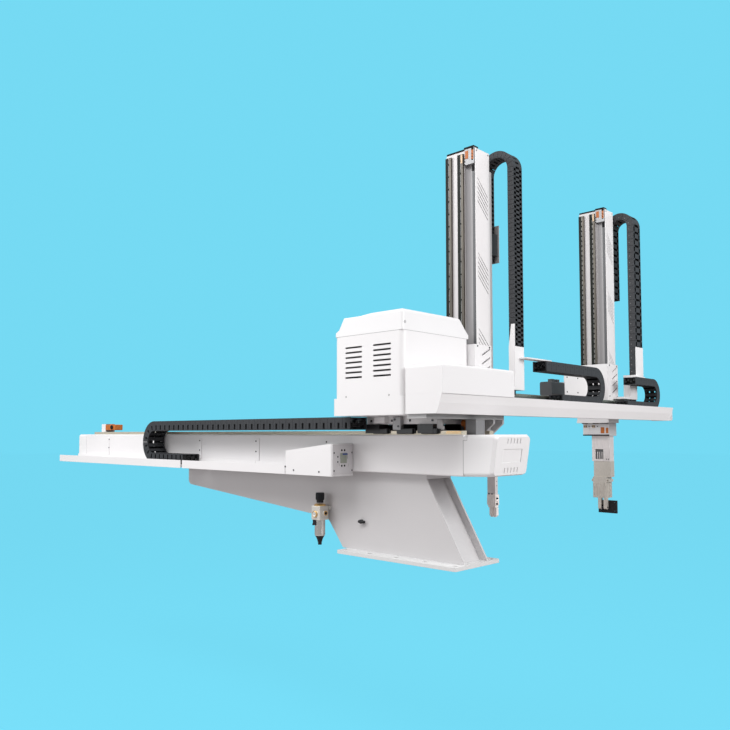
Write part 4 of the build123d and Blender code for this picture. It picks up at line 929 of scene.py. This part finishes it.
# Runner gripper
def runner_gripper():
    """Body with its front ribs and side bosses, screws, marks and two air fittings."""
    left, right = 181.0, 225.0
    y0, y1, z0, z1 = box_mm("gripper_body")[2:]
    ribs = [left + 10 + step * 9 for step in range(3)]
    block = boxes("gripper_block", gripper_steel_painted_light, "runner_bar", "bare_aluminium", [
        (left, right, y0, y1, z0 + 10, z1),
        *[(rib, rib + 4, y0 - 1, y0 + 1, z0 + 14, z1 - 16) for rib in ribs],
        (left + 4, right - 3, y0 + 2, y1 - 2, z0, z0 + 11),
        (left - 6, left + 1, y0 + 8, y1 - 8, z0 + 18, z0 + 30),
        (right - 1, right + 5, y0 + 8, y1 - 8, z0 + 18, z0 + 30),
    ], bevel_mm=2.0)
    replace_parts(block, "gripper_body")
    screws("gripper_screws", "runner_bar", "bare_aluminium",
           [(x, 276, 263) for x in (189, 205)], "-Y", 4.2, 2.0)
    marks = Shape()
    dots(marks, [(193 + step * 9, y0, z0 + 38) for step in range(2)], "-Y", 2.0)
    dots(marks, [(221, 288, z) for z in (300, 318)], "+X", 2.4)
    marks.piece("gripper_marks", shade_grey, "runner_bar", "bare_aluminium")
    fittings = Shape()
    for rise in (16, 40):
        fittings.ring((right, y0 + 9, z0 + rise), "+X", [(4, -1), (4, 4), (2.4, 4), (2.4, 7)], 16)
    fittings.piece("gripper_fittings", black_plastic, "runner_bar", "bare_aluminium", smooth=True)


# Wrist and saddles
def wrist_details():
    """Ribs of the cylinder, screws, and the column's window, dark with painted shade, with its rods."""
    ribs = [(x, x + 5, 1411.5, 1416, 176, 258) for x in (103, 119, 137, 156, 171)]
    ribs += [(176, 180.5, y, y + 6, 176, 258) for y in (1428, 1448, 1468)]
    boxes("cylinder_ribs", warm_steel, "product_column", "bare_aluminium", ribs, bevel_mm=1.2)
    screws("wrist_screws", "product_column", "bare_aluminium",
           [(x, 1424, 269) for x in (96, 184)] + [(x, 1425, 386) for x in (176, 188)], "-Y", 2.8, 2.0)
    # Painted shade: a dark sheet behind the window stands for the shade inside the column.
    boxes("column_window_shade", shade_grey, "product_column", "bare_aluminium",
          [(113, 157, 1431, 1433, 387, 439)])
    boxes("column_window_rods", bare_aluminium, "product_column", "bare_aluminium",
          [(x - 2, x + 2, 1429.5, 1431.5, 387, 425) for x in (122, 135, 148)], bevel_mm=0.5)


def saddle_screws(arm, arm_front):
    """Screws on a saddle's front plate and on its right side."""
    screws(f"{arm}_saddle_screws", f"{arm}_saddle", "white_paint",
           [(x, arm_front - 40, z) for x in (60, 200) for z in (630, 700)], "-Y", 4.5, 2.5)
    screws(f"{arm}_side_screws", f"{arm}_saddle", "white_paint",
           [(224, y, z) for y in (arm_front - 20, arm_front + 68) for z in (730, 898)], "+X", 3.6, 1.8)


filter_regulator()
runner_gripper()
wrist_details()
saddle_screws("runner", arm_front=170.0)
saddle_screws("product", arm_front=1400.0)
screws("gearbox_screws", "product_saddle", "white_gearbox",
       [(125, y, z) for y in (1095, 1210, 1325) for z in (745, 822)], "+X", 4.0, 1.8)


# Stage, light and camera
def backdrop_material():
    """Flat cyan that melts into the world behind it and still takes the object's shadow."""
    material, tree, shader = principled("pale_backdrop")
    shader.inputs["Roughness"].default_value = 0.9
    shader.inputs["Specular IOR Level"].default_value = 0.0
    shader.inputs["Emission Color"].default_value = (*BACKDROP, 1)
    path = node(tree, "ShaderNodeLightPath")
    seen = node(tree, "ShaderNodeMix", data_type="RGBA")
    seen.inputs[MIX_FIRST].default_value = FLOOR_BOUNCE
    seen.inputs[MIX_SECOND].default_value = (*scaled(BACKDROP, FLOOR_DIFFUSE), 1)
    tree.links.new(path.outputs["Is Camera Ray"], seen.inputs[0])
    tree.links.new(seen.outputs[MIX_RESULT], shader.inputs["Base Color"])
    glow = node(tree, "ShaderNodeMath", operation="MULTIPLY")
    glow.inputs[1].default_value = FLOOR_GLOW
    tree.links.new(path.outputs["Is Camera Ray"], glow.inputs[0])
    tree.links.new(glow.outputs[0], shader.inputs["Emission Strength"])
    return material


def floor():
    """Wide flat sheet under the machine."""
    corners = ((-1, -1), (1, -1), (1, 1), (-1, 1))
    mesh = bpy.data.meshes.new("floor")
    mesh.from_pydata([(x * FLOOR_REACH, y * FLOOR_REACH, FLOOR_Z) for x, y in corners], [], [(0, 1, 2, 3)])
    mesh.materials.append(backdrop_material())
    made = bpy.data.objects.new("floor", mesh)
    bpy.context.scene.collection.objects.link(made)


def lamp(name, place, target, size, power):
    """Rectangular soft lamp that looks at its target."""
    data = bpy.data.lights.new(name, "AREA")
    data.shape = "RECTANGLE"
    data.size, data.size_y = size
    data.energy = power
    made = bpy.data.objects.new(name, data)
    made.location = place
    made.rotation_euler = (Vector(target) - Vector(place)).to_track_quat("-Z", "Y").to_euler()
    bpy.context.scene.collection.objects.link(made)


def world_light():
    """Soft neutral light from all round, and the backdrop's colour where it is seen or mirrored."""
    world = bpy.data.worlds.new("studio")
    bpy.context.scene.world = world
    world.use_nodes = True
    tree = world.node_tree
    background = next(n for n in tree.nodes if n.type == "BACKGROUND")
    path = node(tree, "ShaderNodeLightPath")
    seen = node(tree, "ShaderNodeMix", data_type="RGBA")
    seen.inputs[MIX_FIRST].default_value = (*scaled(WORLD_TINT, WORLD_LEVEL), 1)
    seen.inputs[MIX_SECOND].default_value = (*BACKDROP, 1)
    mirrored = node(tree, "ShaderNodeMath", operation="MULTIPLY")
    mirrored.inputs[1].default_value = MIRRORED_BACKDROP
    tree.links.new(path.outputs["Is Glossy Ray"], mirrored.inputs[0])
    first = node(tree, "ShaderNodeMath", operation="MAXIMUM")
    second = node(tree, "ShaderNodeMath", operation="MAXIMUM")
    tree.links.new(path.outputs["Is Camera Ray"], first.inputs[0])
    tree.links.new(path.outputs["Is Transmission Ray"], first.inputs[1])
    tree.links.new(first.outputs[0], second.inputs[0])
    tree.links.new(mirrored.outputs[0], second.inputs[1])
    tree.links.new(second.outputs[0], seen.inputs[0])
    tree.links.new(seen.outputs[MIX_RESULT], background.inputs["Color"])
    background.inputs["Strength"].default_value = 1.0


def camera():
    """The camera of the photograph."""
    data = bpy.data.cameras.new("camera")
    data.lens = CAMERA_LENS_MM
    data.sensor_width = CAMERA_SENSOR_MM
    data.shift_y = CAMERA_SHIFT_Y
    data.clip_end = 200.0
    made = bpy.data.objects.new("camera", data)
    made.location = CAMERA_PLACE
    made.rotation_euler = [math.radians(a) for a in CAMERA_TURN_DEG]
    bpy.context.scene.collection.objects.link(made)
    bpy.context.scene.camera = made


floor()
world_light()
lamp("key", (0.4, -3.2, 4.85), (-0.4, 0.1, 0.7), (3.8, 1.6), 176)
lamp("side", (4.8, 1.0, 2.4), (0.1, 0.9, 0.9), (2.6, 2.2), 172)
lamp("front", (-3.0, -4.2, 0.9), (-1.4, 0.0, 0.4), (3.0, 1.4), 28)
lamp("left", (-2.6, -2.9, 3.0), (-1.1, 0.0, 0.45), (2.4, 1.4), 72)
camera()
bpy.context.scene.view_settings.view_transform = "Standard"
